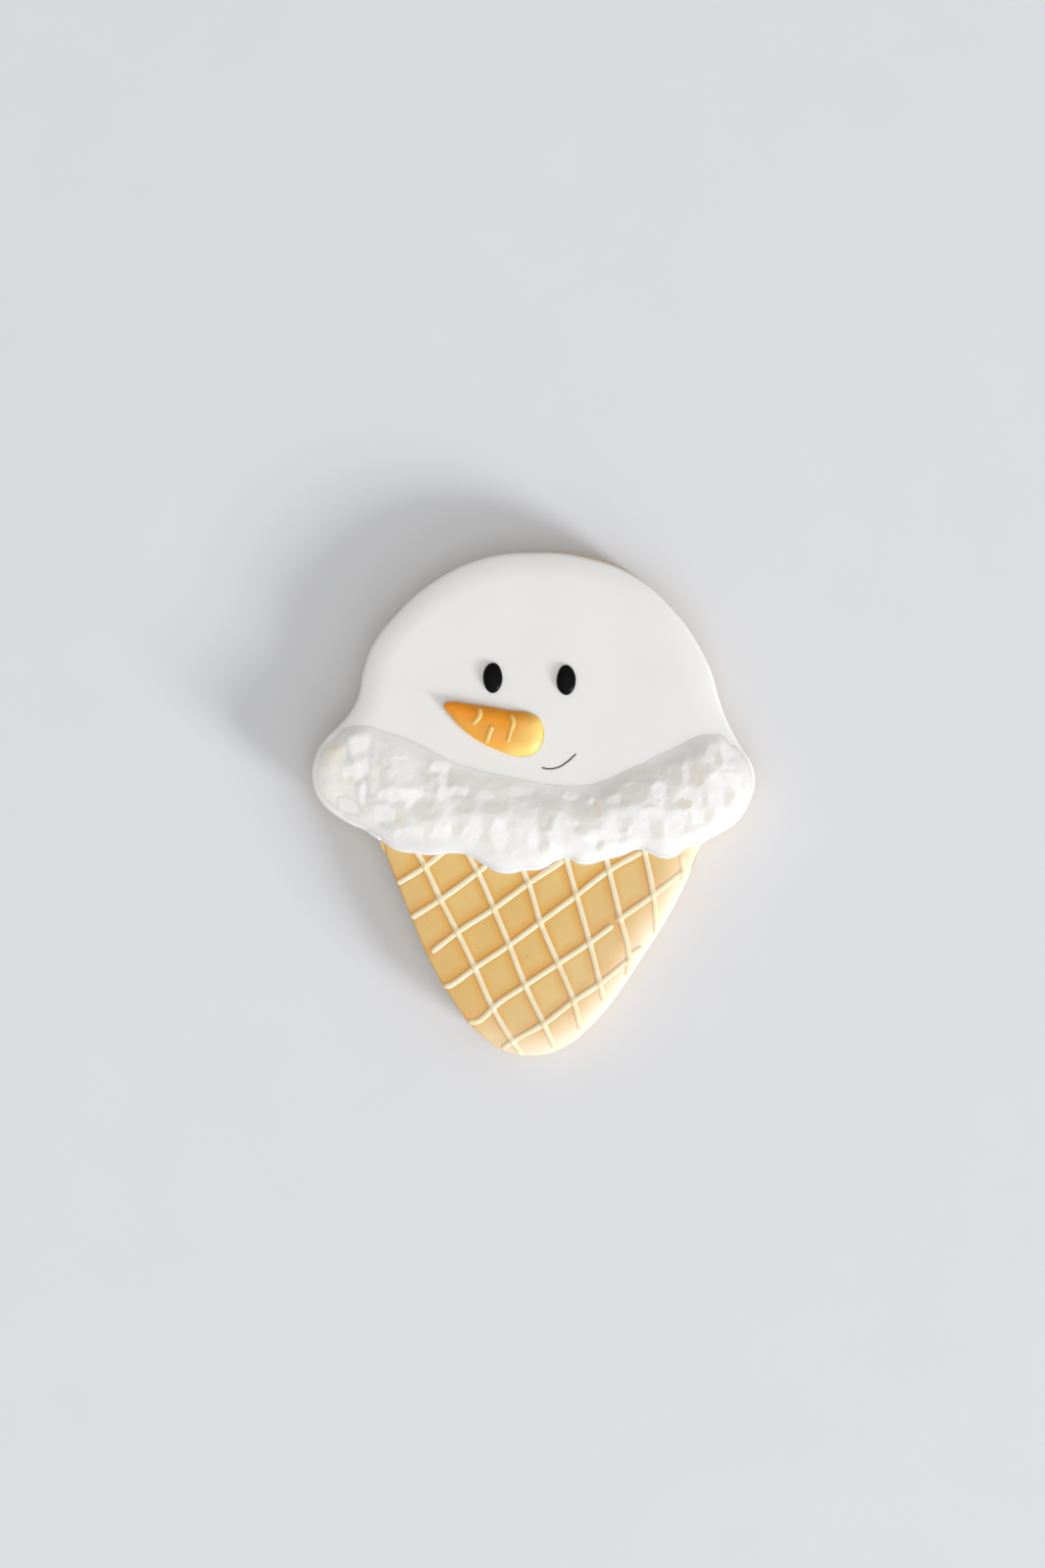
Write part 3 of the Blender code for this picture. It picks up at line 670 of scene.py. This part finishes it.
def piped_finish(name, deeper, paler):
    """Pale icing that lets a little light through."""
    finish, tree, shader = new_finish(name, 0.45, 0.7, 0.35, (0.6, 0.55, 0.5))
    colour = tone_between(tree, patches(tree, 260.0, 2.0), (0.3, deeper), (0.7, paler))
    tree.links.new(colour, shader.inputs["Base Color"])
    return finish


def joined(name, pieces):
    """One mesh object that holds copies of several pieces, to lay the next ones on."""
    places = []
    faces = []
    for piece in pieces:
        start = len(places)
        places += [vertex.co[:] for vertex in piece.data.vertices]
        faces += [[start + corner for corner in face.vertices] for face in piece.data.polygons]
    mesh = bpy.data.meshes.new(name)
    mesh.from_pydata(places, [], faces)
    whole = bpy.data.objects.new(name, mesh)
    bpy.context.scene.collection.objects.link(whole)
    return whole


piping = piping_tree()
cream = piped_finish("piped_icing", (1.000, 0.790, 0.490), (1.000, 0.860, 0.620))
shallow = pipe("shallow_lines", SHALLOW_LINES, cone_icing, cream, PIPED_LINE, seed=3.0)
laid = joined("laid_icing", (cone_icing, shallow))
steep = pipe("steep_lines", STEEP_LINES, laid, cream, PIPED_LINE, seed=8.0)
bpy.data.objects.remove(laid, do_unlink=True)
beneath = np.vstack([evenly(line, PIPED_STEP) for line in SHALLOW_LINES + STEEP_LINES])
# Painted shadow next to the lines, shifted to the side away from the light, and painted shade at the
# left
painted_shadow = PAINTED_LINE_SHADOW * (1.0 - eased(distance(cone_places + PAINTED_SHADOW_SHIFT, beneath), *PAINTED_SHADOW_RANGE))
painted_shadow = np.maximum(painted_shadow, PAINTED_SHADE_AT_LEFT * eased(-cone_places[:, 0], *PAINTED_SHADE_LEFT_RANGE))
cone_icing.data.attributes.new("painted_line_shadow", "FLOAT", "POINT").data.foreach_set("value", painted_shadow)
for lines in (shallow, steep):
    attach(lines, "root")
    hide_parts("cone_icing")

# The white icing on the scoop.
# Thinned white icing is flooded from the edge inwards over the scoop and both lobes, and laps over
# the tan with a thick wavy hem. It dries level and satin, with a couple of burst bubbles.
WHITE_HEIGHT = 9.6
WHITE_ROLL = 6.2
# How far up the scoop, and how much the edge sags and drops there
WHITE_SAG = ((8.0, 0.40), (18.0, 0.85))
WHITE_DROP = ((8.0, 1.0), (18.0, 1.55))
WHITE_SWELL = (11.0, 0.06, 5.0)
HEM_EDGE_HEIGHT = 8.45
HEM_HEIGHT = 10.1
HEM_ROLL = 1.7
WHITE_RINGS = (0.03, 0.09, 0.18, 0.32, 0.5, 0.8, 1.2, 1.7, 2.3, 3.0)
WHITE_GRID = 0.7
WHITE_GRAIN = (0.5, 0.03)
# The place and size of each burst bubble, its depth, and its lip's height, place and width
BUBBLES = ((3.8, 36.0, 0.30), (-25.7, 22.2, 0.22))
BUBBLE_DEPTH = 0.16
BUBBLE_LIP = (0.05, 1.3, 0.3)


def white_height(places):
    """The flood icing's surface, with a thicker lip along the hem."""
    sag = np.interp(places[:, 1], *zip(*WHITE_SAG))
    drop = np.interp(places[:, 1], *zip(*WHITE_DROP))
    level = WHITE_HEIGHT - settled(distance(places, rim), WHITE_ROLL, sag, drop)
    lip = HEM_EDGE_HEIGHT + (HEM_HEIGHT - HEM_EDGE_HEIGHT) * rounded(distance(places, hem) / HEM_ROLL)
    height = np.minimum(level, lip)
    height += swell(places, *WHITE_SWELL)
    lip_height, lip_place, lip_width = BUBBLE_LIP
    for x, y, size in BUBBLES:
        share = np.linalg.norm(places - (x, y), axis=1) / size
        lip = lip_height * np.exp(-((share - lip_place) / lip_width) ** 2)
        height -= BUBBLE_DEPTH * np.exp(-share ** 4) - lip
    return height


def white_finish(name, grain, painted_shade_colour=None):
    """Satin white icing with a fine grain, and a warm painted shade in the hollows where a mesh
    attribute says so.
    """
    size, depth = grain
    finish, tree, shader = new_finish(name, 0.40, 0.5, 0.45, (1.3, 1.3, 1.3))
    colour = tone_between(tree, patches(tree, 45.0, 2.0),
                          (0.0, (0.870, 0.868, 0.862)), (1.0, (0.895, 0.893, 0.888)))
    if painted_shade_colour:
        # Painted shade: warmer and darker in the ruffle's hollows
        colour = turning(tree, colour, "painted_hollow_shade", painted_shade_colour)
    tree.links.new(colour, shader.inputs["Base Color"])
    grained(tree, shader, patches(tree, 1.0 / (size * MM), 3.0), 0.35, depth)
    return finish


rim = stretch(outline, RIGHT_LOBE[0], LEFT_LOBE[-1])
free_hem = hem[3:-1]  # without its ends, which lie at the rim
white_loop = evenly(np.vstack([rim, free_hem]), EDGE_STEP, closed=True)
white_mesh = icing_body("white_icing", white_loop, WHITE_RINGS, WHITE_GRID, white_height)
white_icing = add_piece("white_icing", white_mesh, white_finish("white_icing", WHITE_GRAIN))
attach(white_icing, "root")
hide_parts("scoop_icing")

# The ruffle of dabbed icing.
# Stiff white icing is piped thickly along the scoop's lower edge and dabbed with a damp brush while
# it sets. Each dab leaves a soft facet that leans its own way, with a warm painted shade in the hollows
# between them.
RUFFLE_TOP = ((-39.9, 13.3), (-38.2, 14.8), (-36.0, 15.7), (-33.2, 15.9), (-30.0, 15.0), (-24.3, 13.1),
              (-17.1, 9.5), (-10.6, 7.4), (-2.5, 5.7), (5.8, 4.3), (11.9, 4.6), (19.6, 7.8),
              (24.2, 10.1), (28.7, 12.0), (31.8, 13.6), (35.6, 14.2), (37.8, 13.6), (39.4, 11.8))
RUFFLE_MARGIN = 0.55
RUFFLE_GRID = 0.19
RUFFLE_SUNK = 0.03
RUFFLE_RINGS = (0.25,)
# The rope's thickness at places from the left lobe to the right one
RUFFLE_BODY = ((-44, 0.1), (-38, 0.25), (-30, 0.8), (-24, 1.4), (-15, 1.7), (5, 1.8), (18, 2.1),
               (30, 2.0), (37, 1.5), (44, 0.4))
RUFFLE_CREST = 0.47
RUFFLE_FALL = 0.8
RUFFLE_FULL_WIDTH = 13.0
RUFFLE_INSET = 0.3
RUFFLE_DEPTH = 0.9
RUFFLE_UNDER_GRID = 4.0
RUFFLE_GRAIN = (0.35, 0.05)
# The colour of the warm painted shade in the ruffle's hollows
PAINTED_HOLLOW_SHADE = (0.86, 0.77, 0.60)
# How far in from its top and its rim the relief reaches its full strength
RELIEF_TOP_RANGE = (0.0, 3.0)
RELIEF_RIM_RANGE = (0.55, 4.2)
LEAN_TOP_RANGE = (0.2, 1.0)
LEAN_RIM_RANGE = (0.0, 1.0)
# The size, height and seed of each fine unevenness
CURLS = ((0.8, 0.025, 23.0), (1.7, 0.05, 29.0))
DAB_FACING = math.radians(-50)
DAB_REACH = 11.0
DAB_SIDEWAYS = 0.12
DAB_SQUARENESS = 2.2
DAB_EDGE = (0.80, 1.16)
# How far out each dab's painted shade reaches, by the same share as its outline
PAINTED_SHADE_EDGE = (0.30, 1.55)
# The size, amount and two seeds of the wander in the dabs' outlines
DAB_WANDER = ((2.4, 0.45, (11.0, 17.0)), (1.0, 0.30, (12.0, 18.0)))
RELIEF_CORNER = (-52.0, -22.0)
RELIEF_STEP = 0.2
RELIEF_COUNT = (520, 230)
# Each dab of the brush, later ones over earlier: its middle, half width, half height, how many
# degrees it leans towards the lower right, and how much warm painted shade its tone gets
DABS = (
    (-40.1, 8.8, 3.1, 4.7, 6, 0.31), (-38.7, 1.1, 4.3, 3.5, 6, 0.23), (-34.4, 12.3, 2.3, 2.3, 9, 0),
    (-34.8, 7.9, 1.0, 0.8, 5, 0), (-33.1, 7.5, 0.7, 2.1, 9, 0), (-35.8, 6.3, 2.3, 1.6, 15, 0),
    (-39.5, 10.4, 1.2, 1.9, 11, 0.66), (-36.4, 4.8, 1.2, 0.8, 8, 0.40), (-30.8, 8.1, 0.8, 0.6, -4, 0.41),
    (-31.5, 4.6, 1.2, 2.7, 7, 0.17), (-26.1, 6.3, 2.9, 2.3, 2, 0), (-26.3, 9.0, 1.9, 0.3, 9, 0),
    (-26.1, 1.8, 5.0, 1.5, 15, 0), (-33.7, 2.2, 0.6, 2.1, 15, 0), (-33.3, -0.7, 0.6, 0.8, 8, 0.50),
    (-35.0, -2.0, 0.6, 1.2, 3, 0.31), (-30.0, -2.2, 2.9, 2.1, 12, 0), (-26.5, -2.8, 1.2, 1.7, 3, 0.49),
    (-24.5, 0.1, 0.8, 1.0, 15, 0), (-20.8, -1.1, 3.3, 2.5, -5, 0.18), (-20.8, 5.9, 1.7, 1.7, -10, 0.19),
    (-18.5, 7.3, 2.1, 1.0, 15, 0), (-17.9, 5.1, 1.0, 1.7, 6, 0), (-17.9, 2.2, 1.2, 1.7, 7, 0),
    (-16.8, -1.1, 1.2, 2.3, 1, 0), (-24.1, -6.7, 4.3, 2.3, 15, 0), (-21.0, -5.7, 0.8, 1.0, 7, 0.14),
    (-17.7, -6.7, 2.7, 2.9, 15, 0), (-15.0, -5.1, 1.2, 1.4, -3, 0.20), (-14.4, 5.1, 2.5, 1.9, -10, 0.17),
    (-15.8, 2.6, 2.5, 0.8, 6, 0), (-13.5, 2.6, 0.6, 1.0, 15, 0), (-13.5, -0.5, 2.1, 1.7, -8, 0.22),
    (-6.7, 4.6, 5.0, 1.0, -9, 0.32), (-9.4, 1.7, 1.9, 1.0, 0, 0), (-3.4, 2.4, 2.9, 1.0, -3, 0),
    (-7.6, -0.7, 3.3, 1.6, -11, 0.25), (-2.4, -1.5, 1.4, 1.6, -8, 0.02), (-11.7, -5.3, 1.9, 2.9, 11, 0),
    (-9.2, -6.1, 1.2, 2.9, 3, 0.13), (-6.7, -6.1, 1.7, 3.5, 12, 0), (-4.1, -4.2, 1.2, 0.8, -3, 0.25),
    (-3.4, -7.3, 1.4, 2.3, 4, 0.02), (-1.2, -4.4, 1.6, 1.6, 1, 0), (0.1, -7.7, 1.2, 2.3, 11, 0),
    (-8.6, -9.4, 1.7, 1.2, 4, 0.07), (-4.0, -10.2, 0.6, 1.0, 15, 0), (-2.4, -9.8, 1.4, 1.2, 7, 0),
    (2.3, -3.4, 1.7, 2.7, -10, 0.23), (2.1, -8.3, 1.2, 2.1, -5, 0.23), (5.6, -5.7, 1.7, 3.9, 5, 0),
    (5.8, -2.4, 1.2, 1.0, 2, 0), (10.2, -1.5, 3.7, 2.1, -14, 0.24), (12.7, -0.7, 1.2, 1.9, -10, 0.57),
    (7.5, 1.5, 1.4, 0.8, 5, 0.09), (11.4, 0.7, 0.8, 0.6, 8, 0.23), (15.9, 1.1, 1.4, 1.2, -1, 0.01),
    (11.2, -4.2, 2.5, 1.0, -10, 0.15), (9.4, -5.3, 1.6, 1.0, -9, 0.22), (10.8, -8.3, 3.5, 2.1, 11, 0),
    (13.1, -8.8, 0.8, 1.4, -16, 0.16), (15.1, -6.1, 1.4, 3.5, 8, 0), (18.0, -3.4, 1.9, 1.2, -1, 0.07),
    (17.8, -5.1, 1.2, 0.8, -10, 0.15), (18.6, -7.7, 1.9, 1.6, -6, 0), (21.5, -4.8, 1.9, 3.9, 9, 0),
    (24.4, -5.0, 1.4, 2.1, -1, 0.26), (28.3, -5.7, 2.3, 3.5, 9, 0), (21.5, 6.7, 6.6, 1.6, -15, 0.21),
    (20.1, 2.0, 3.1, 2.3, -13, 0.22), (18.2, 0.1, 0.8, 0.8, -12, 0.46), (24.8, 2.8, 1.6, 1.7, 4, 0),
    (24.6, -0.9, 1.2, 1.6, 6, 0), (27.1, -0.3, 1.4, 1.4, -7, 0.01), (27.3, 2.4, 1.0, 1.4, -12, 0.23),
    (27.7, 5.9, 1.2, 1.9, -11, 0.24), (30.0, 5.9, 0.8, 2.3, 1, 0), (30.2, 2.4, 1.4, 1.0, 8, 0),
    (32.4, 5.9, 1.6, 2.7, -12, 0.33), (29.8, -0.1, 1.7, 1.2, -11, 0.52),
    (34.7, 6.7, 1.4, 1.7, -11, 0.10), (35.3, 10.4, 1.2, 1.2, -6, 0), (36.6, 9.4, 0.8, 1.9, -16, 0.25),
    (38.6, 10.4, 1.6, 1.2, 8, 0), (39.5, 8.3, 1.7, 1.0, -4, 0), (37.4, 4.4, 2.5, 2.3, 6, 0),
    (33.7, 1.7, 1.0, 2.3, -2, 0.09), (32.8, 0.1, 0.5, 2.7, 9, 0), (38.8, 1.3, 1.4, 1.9, -4, 0.28),
    (34.7, -2.2, 1.0, 1.4, 4, 0.35), (30.8, -3.8, 0.8, 2.5, -1, 0.03), (33.1, -5.3, 2.3, 1.6, -1, 0),
    (39.9, -2.8, 2.3, 2.3, 12, 0), (42.3, 3.0, 1.0, 3.1, -1, 0), (-34.8, 8.1, 0.8, 0.4, 15, 0),
    (-25.1, 3.3, 5.0, 0.3, 3, 0), (-18.9, 7.5, 1.7, 0.4, 11, 0), (-38.7, 1.7, 1.2, 0.3, 15, 0.08),
    (-11.1, -2.7, 1.2, 0.3, 6, 0), (-5.9, -2.8, 0.8, 0.4, -10, 0.07), (0.1, -6.3, 0.6, 1.4, 8, 0),
    (5.4, -2.4, 1.0, 0.4, 6, 0), (12.2, -5.0, 1.7, 0.3, -4, 0.05), (7.7, 1.8, 1.2, 0.3, -11, 0.10),
    (-13.5, 3.4, 0.4, 0.8, -3, 0), (29.1, 3.4, 1.0, 0.3, 4, 0.05), (22.8, -0.3, 1.6, 0.4, -12, 0.04),
    (38.8, 6.7, 1.6, 0.4, -7, 0),
)


def oval_share(places, x, y, width, length):
    """How far out each place lies in a rounded box: 0 in its middle, 1 on its edge."""
    across = np.abs(places[:, 0] - x) / width
    along = np.abs(places[:, 1] - y) / length
    return (across ** DAB_SQUARENESS + along ** DAB_SQUARENESS) ** (1 / DAB_SQUARENESS)


def ruffle_body(places):
    """The rope's own height under the dabs, and how far from its borders each place lies."""
    from_top = distance(places, ruffle_top)
    from_rim = distance(places, lower_edge)
    across = from_top / np.maximum(from_top + from_rim - RUFFLE_MARGIN, 0.01)
    climb = eased(across, 0.0, RUFFLE_CREST)
    past_crest = np.clip((across - RUFFLE_CREST) / (1.0 - RUFFLE_CREST), 0.0, 1.0)
    fall = np.cos(past_crest * math.pi / 2.0) ** RUFFLE_FALL
    thickness = np.interp(places[:, 0], *zip(*RUFFLE_BODY))
    thickness *= eased(from_top + from_rim, 0.0, RUFFLE_FULL_WIDTH)
    return thickness * np.minimum(climb, fall), from_top, from_rim


def dabbed_relief():
    """The smoothest heights that fall to the lower right as the dabs lean, and the dabs' painted shade.
    """
    columns, rows = np.mgrid[0:RELIEF_COUNT[0], 0:RELIEF_COUNT[1]]
    places = np.column_stack([columns.ravel(), rows.ravel()]) * RELIEF_STEP + RELIEF_CORNER
    warped = places
    for size, amount, seeds in DAB_WANDER:
        warped = warped + np.column_stack([swell(places, size, amount, seed) for seed in seeds])
    lean = np.zeros(len(places))
    painted_shade = np.zeros(len(places))
    cover = np.zeros(len(places))
    for x, y, width, length, degrees, dab_shade in DABS:
        share = oval_share(warped, x, y, width, length)
        over = 1.0 - eased(share, *DAB_EDGE)
        lean += over * (degrees - lean)
        # Painted shade: each later dab sets its own share of the warm painted shade
        painted_shade += (1.0 - eased(share, *PAINTED_SHADE_EDGE)) * (dab_shade - painted_shade)
        cover += over * (1.0 - cover)
    body, from_top, from_rim = ruffle_body(places)
    strength = eased(from_top, *LEAN_TOP_RANGE) * eased(from_rim, *LEAN_RIM_RANGE)
    slopes = np.gradient((white_height(places) + body).reshape(RELIEF_COUNT), RELIEF_STEP)
    toward = (math.cos(DAB_FACING), math.sin(DAB_FACING))
    own_fall = -(slopes[0] * toward[0] + slopes[1] * toward[1]).ravel()
    wanted = (strength * cover * (np.tan(np.radians(lean)) - own_fall)).reshape(RELIEF_COUNT)
    waves = [2.0 * math.pi * np.fft.fftfreq(count, RELIEF_STEP) for count in RELIEF_COUNT]
    along = waves[0][:, None] * toward[0] + waves[1] * toward[1]
    sideways = waves[1] * toward[0] - waves[0][:, None] * toward[1]
    share = 1j * along / (along ** 2 + DAB_SIDEWAYS * sideways ** 2 + DAB_REACH ** -2)
    heights = np.real(np.fft.ifft2(np.fft.fft2(wanted) * share))
    return heights, (painted_shade * strength).reshape(RELIEF_COUNT)


def read_between(field, places):
    """Values of a field on the relief's grid at places between its points."""
    share = (places - RELIEF_CORNER) / RELIEF_STEP
    column, row = np.floor(share).astype(int).T
    right, up = (share - np.floor(share)).T
    return ((1.0 - right) * ((1.0 - up) * field[column, row] + up * field[column, row + 1])
            + right * ((1.0 - up) * field[column + 1, row] + up * field[column + 1, row + 1]))


def ruffle_height(places):
    """The ruffle's surface, and how much warm painted shade its tone gets at each place."""
    body, from_top, from_rim = ruffle_body(places)
    strength = eased(from_top, *RELIEF_TOP_RANGE) * eased(from_rim, *RELIEF_RIM_RANGE)
    curls = sum(swell(places, *curl) for curl in CURLS)
    height = white_height(places) - RUFFLE_SUNK + body
    height += strength * (read_between(relief, places) + curls)
    return height, read_between(painted_shade, places)


left_rim = stretch(outline, LEFT_LOBE[0], LEFT_LOBE[-1])
right_rim = stretch(outline, RIGHT_LOBE[0], RIGHT_LOBE[-1])
lower_edge = evenly(np.vstack([left_rim, free_hem, right_rim]), EDGE_STEP)
ruffle_top = smooth_line(RUFFLE_TOP, EDGE_STEP)
relief, painted_shade = dabbed_relief()
ruffle_loop = np.vstack([shifted(lower_edge, RUFFLE_MARGIN, closed=False), ruffle_top[::-1]])
ruffle_loop = evenly(ruffle_loop, EDGE_STEP, closed=True)
inner = spread(ruffle_loop, RUFFLE_RINGS, RUFFLE_GRID)
edge_height, edge_shade = ruffle_height(ruffle_loop)
inner_height, inner_shade = ruffle_height(inner)
ruffle_foot = shifted(ruffle_loop, RUFFLE_INSET)
ruffle_under = spread(ruffle_foot, (), RUFFLE_UNDER_GRID)
ruffle_rings = [raised(ruffle_loop, edge_height),
                raised(ruffle_foot, white_height(ruffle_foot) - RUFFLE_DEPTH)]
ruffle_under = raised(ruffle_under, white_height(ruffle_under) - RUFFLE_DEPTH)
ruffle_mesh = body_mesh("dabbed_ruffle", ruffle_rings, raised(inner, inner_height), ruffle_under)
# Painted shade: each point's share of the warm painted shade in the hollows
# The mesh holds its edge first, then its foot, then its top
painted_shades = np.zeros(len(ruffle_mesh.vertices))
painted_shades[:len(ruffle_loop)] = edge_shade
painted_shades[2 * len(ruffle_loop):2 * len(ruffle_loop) + len(inner)] = inner_shade
ruffle_mesh.attributes.new("painted_hollow_shade", "FLOAT", "POINT").data.foreach_set("value", painted_shades)
ruffle = add_piece("dabbed_ruffle", ruffle_mesh,
                   white_finish("dabbed_white_icing", RUFFLE_GRAIN, PAINTED_HOLLOW_SHADE))
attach(ruffle, "root")
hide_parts("ruffle_icing")

# The carrot nose.
# A plump carrot of orange icing, piped from its blunt end to its tip, with three thin pale lines
# laid across it once it has crusted.
NOSE = ((-17.8, 19.8), (-16.6, 20.3), (-12.9, 19.9), (-5.7, 18.75), (0.9, 17.2), (1.9, 15.0),
        (1.8, 12.5), (0.2, 10.1), (-2.4, 9.4), (-6.9, 10.6), (-12.9, 13.9), (-16.8, 18.0))
NOSE_LINES = (
    ((-10.7, 19.0), (-10.7, 17.5), (-12.1, 15.8)),
    ((-8.2, 15.4), (-9.4, 12.1)),
    ((-4.5, 17.6), (-4.0, 16.2), (-4.5, 14.6), (-5.2, 12.2)),
)
# Width, height, lift and unevenness of its pale lines
NOSE_LINE = (0.85, 0.3, 0.02, 1.6)
NOSE_EDGE_HEIGHT = 9.95
NOSE_HEIGHT = 11.4
NOSE_ROLL = 2.7
NOSE_DOME = 2.2
# Places along it and the share of its height there
NOSE_SLIMMING = ((-18.0, 0.5), (-7.0, 1.0))
NOSE_SWELL = (3.0, 0.10, 31.0)
NOSE_MIDDLE = (-5.5, 14.8)
NOSE_TILT = 0.04
# Painted highlight: it is painted paler towards its blunt end's lower side, and a little along its whole
# lower side, where the light falls
NOSE_BLUNT_END = (0.72, -0.70)
NOSE_HIGHLIGHT_RANGE = (-1.5, 5.5)
NOSE_HIGHLIGHT_SIDE = (-0.26, -0.97)
NOSE_SIDE_HIGHLIGHT_RANGE = (-1.6, 1.4)
NOSE_SIDE_HIGHLIGHT_SHARE = 0.3
# How far in, and how high, its edge is below the dome
NOSE_SKIRT = ((0.05, 9.75), (0.35, 9.45))
NOSE_RINGS = (0.08, 0.2, 0.4, 0.7, 1.0)
NOSE_GRID = 0.4
NOSE_UNDER_GRID = 2.0


def nose_height(places):
    """The nose's surface: a dome that slims to the tip and tilts a little to its blunt end."""
    depth = distance(places, nose_loop, closed=True)
    share = np.interp(places[:, 0], *zip(*NOSE_SLIMMING))
    dome = 1.0 - (1.0 - np.clip(depth / (NOSE_ROLL * share), 0.0, 1.0)) ** NOSE_DOME
    level = NOSE_EDGE_HEIGHT + (NOSE_HEIGHT - NOSE_EDGE_HEIGHT) * share * dome
    return level + NOSE_TILT * ((NOSE_MIDDLE - places) @ NOSE_BLUNT_END) + swell(places, *NOSE_SWELL)


def orange_finish():
    """Bright orange icing, slightly uneven, with a yellower painted highlight where a mesh attribute
    says so.
    """
    finish, tree, shader = new_finish("orange_icing", 0.45, 0.4, 0.7, (1.6, 0.6, 0.2))
    colour = tone_between(tree, patches(tree, 240.0, 2.0),
                          (0.3, (1.000, 0.325, 0.008)), (0.7, (1.000, 0.395, 0.013)))
    # Painted highlight: yellower towards the lit lower right
    colour = turning(tree, colour, "pale", (0.998, 0.655, 0.205))
    tree.links.new(colour, shader.inputs["Base Color"])
    return finish


nose_loop = smooth_line(NOSE, EDGE_STEP, closed=True)[::-1]
inner = spread(nose_loop, NOSE_RINGS, NOSE_GRID)
nose_rings = [raised(nose_loop, nose_height(nose_loop))]
nose_rings += [raised(shifted(nose_loop, inset), height) for inset, height in NOSE_SKIRT]
nose_under = raised(spread(nose_rings[-1][:, :2], (), NOSE_UNDER_GRID), NOSE_SKIRT[-1][1])
nose_mesh = body_mesh("nose_icing", nose_rings, raised(inner, nose_height(inner)), nose_under)
nose_places = np.array([vertex.co[:2] for vertex in nose_mesh.vertices]) / MM
# Painted highlight: paler towards the blunt end's lower side and along the lower side, where the light
# falls
pale = eased((nose_places - NOSE_MIDDLE) @ NOSE_BLUNT_END, *NOSE_HIGHLIGHT_RANGE)
lower = eased((nose_places - NOSE_MIDDLE) @ NOSE_HIGHLIGHT_SIDE, *NOSE_SIDE_HIGHLIGHT_RANGE)
pale = np.maximum(pale, NOSE_SIDE_HIGHLIGHT_SHARE * lower)
nose_mesh.attributes.new("pale", "FLOAT", "POINT").data.foreach_set("value", pale)
nose = add_piece("nose_icing", nose_mesh, orange_finish())
yellow = piped_finish("nose_line_icing", (0.990, 0.570, 0.150), (0.998, 0.680, 0.230))
nose_lines = pipe("nose_lines", NOSE_LINES, nose, yellow, NOSE_LINE, seed=14.0)
for piece in (nose, nose_lines):
    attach(piece, "root")
    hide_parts("carrot_nose")

# The eyes.
# Two upright oval beads of black icing, dropped from a fine tip, so each is a low dome with a
# soft shoulder and a satin skin.
EYE_WIDTH = 3.85
EYE_LENGTH = 6.0
EYE_HEIGHT = 1.25
EYE_BASE = 9.5
EYES = {"left": (-8.1, 25.0), "right": (6.45, 24.6)}
EYE_SIDES = 48
EYE_LEVELS = 14
EYE_WOBBLE = 0.05
# Shares of the width at the very top and at least below it, and how bluntly width and height round off
EYE_TOP = 0.12
EYE_LEAST = 0.14
EYE_ROUND = (0.9, 0.8)
# Shares of the width, and heights over the icing, of the rings at its foot
EYE_FOOT = ((1.0, 0.12), (0.97, -0.05))


def eye_mesh(name, middle, seed):
    """A closed oval dome with a slightly uneven outline."""
    turn = np.linspace(0.0, 2.0 * math.pi, EYE_SIDES, endpoint=False)
    around = np.column_stack([np.cos(turn), np.sin(turn)])
    wobble = np.array([noise.noise(Vector((x, y, seed))) for x, y in around])
    oval = around * (EYE_WIDTH / 2.0, EYE_LENGTH / 2.0) * (1.0 + EYE_WOBBLE * wobble[:, None])
    top = EYE_BASE + EYE_HEIGHT
    rings = [raised(oval * EYE_TOP + middle, top)]
    for level in range(1, EYE_LEVELS):
        lean = math.pi / 2.0 * level / EYE_LEVELS
        width = max(math.sin(lean) ** EYE_ROUND[0], EYE_LEAST)
        height = EYE_HEIGHT * math.cos(lean) ** EYE_ROUND[1]
        rings.append(raised(oval * width + middle, EYE_BASE + height))
    rings += [raised(oval * width + middle, EYE_BASE + rise) for width, rise in EYE_FOOT]
    centre = np.array([middle])
    return body_mesh(name, rings, raised(centre, top), raised(centre, EYE_BASE + EYE_FOOT[-1][1]))


def black_finish():
    """Deep black icing with a satin skin."""
    finish, tree, shader = new_finish("black_icing", 0.28, 0.05)
    grain = patches(tree, 700.0, 2.0)
    colour = tone_between(tree, grain, (0.0, (0.003, 0.004, 0.004)), (1.0, (0.007, 0.008, 0.008)))
    tree.links.new(colour, shader.inputs["Base Color"])
    grained(tree, shader, grain, 0.3, 0.05)
    return finish


black = black_finish()
for seed, (side, middle) in enumerate(EYES.items()):
    eye = add_piece(f"{side}_eye", eye_mesh(f"{side}_eye", middle, float(seed)), black)
    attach(eye, "root")
    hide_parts(f"eye_{side}")

# The mouth.
# One thin curved stroke of black colouring, drawn on the dry icing with a fine brush.
MOUTH = ((1.56, 7.22), (2.98, 6.97), (4.85, 7.28), (6.50, 8.25), (8.48, 10.00))
MOUTH_LINE = (0.26, 0.08, 0.01, 0.5)
mouth = pipe("mouth", (MOUTH,), white_icing, black, MOUTH_LINE, seed=21.0)
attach(mouth, "root")
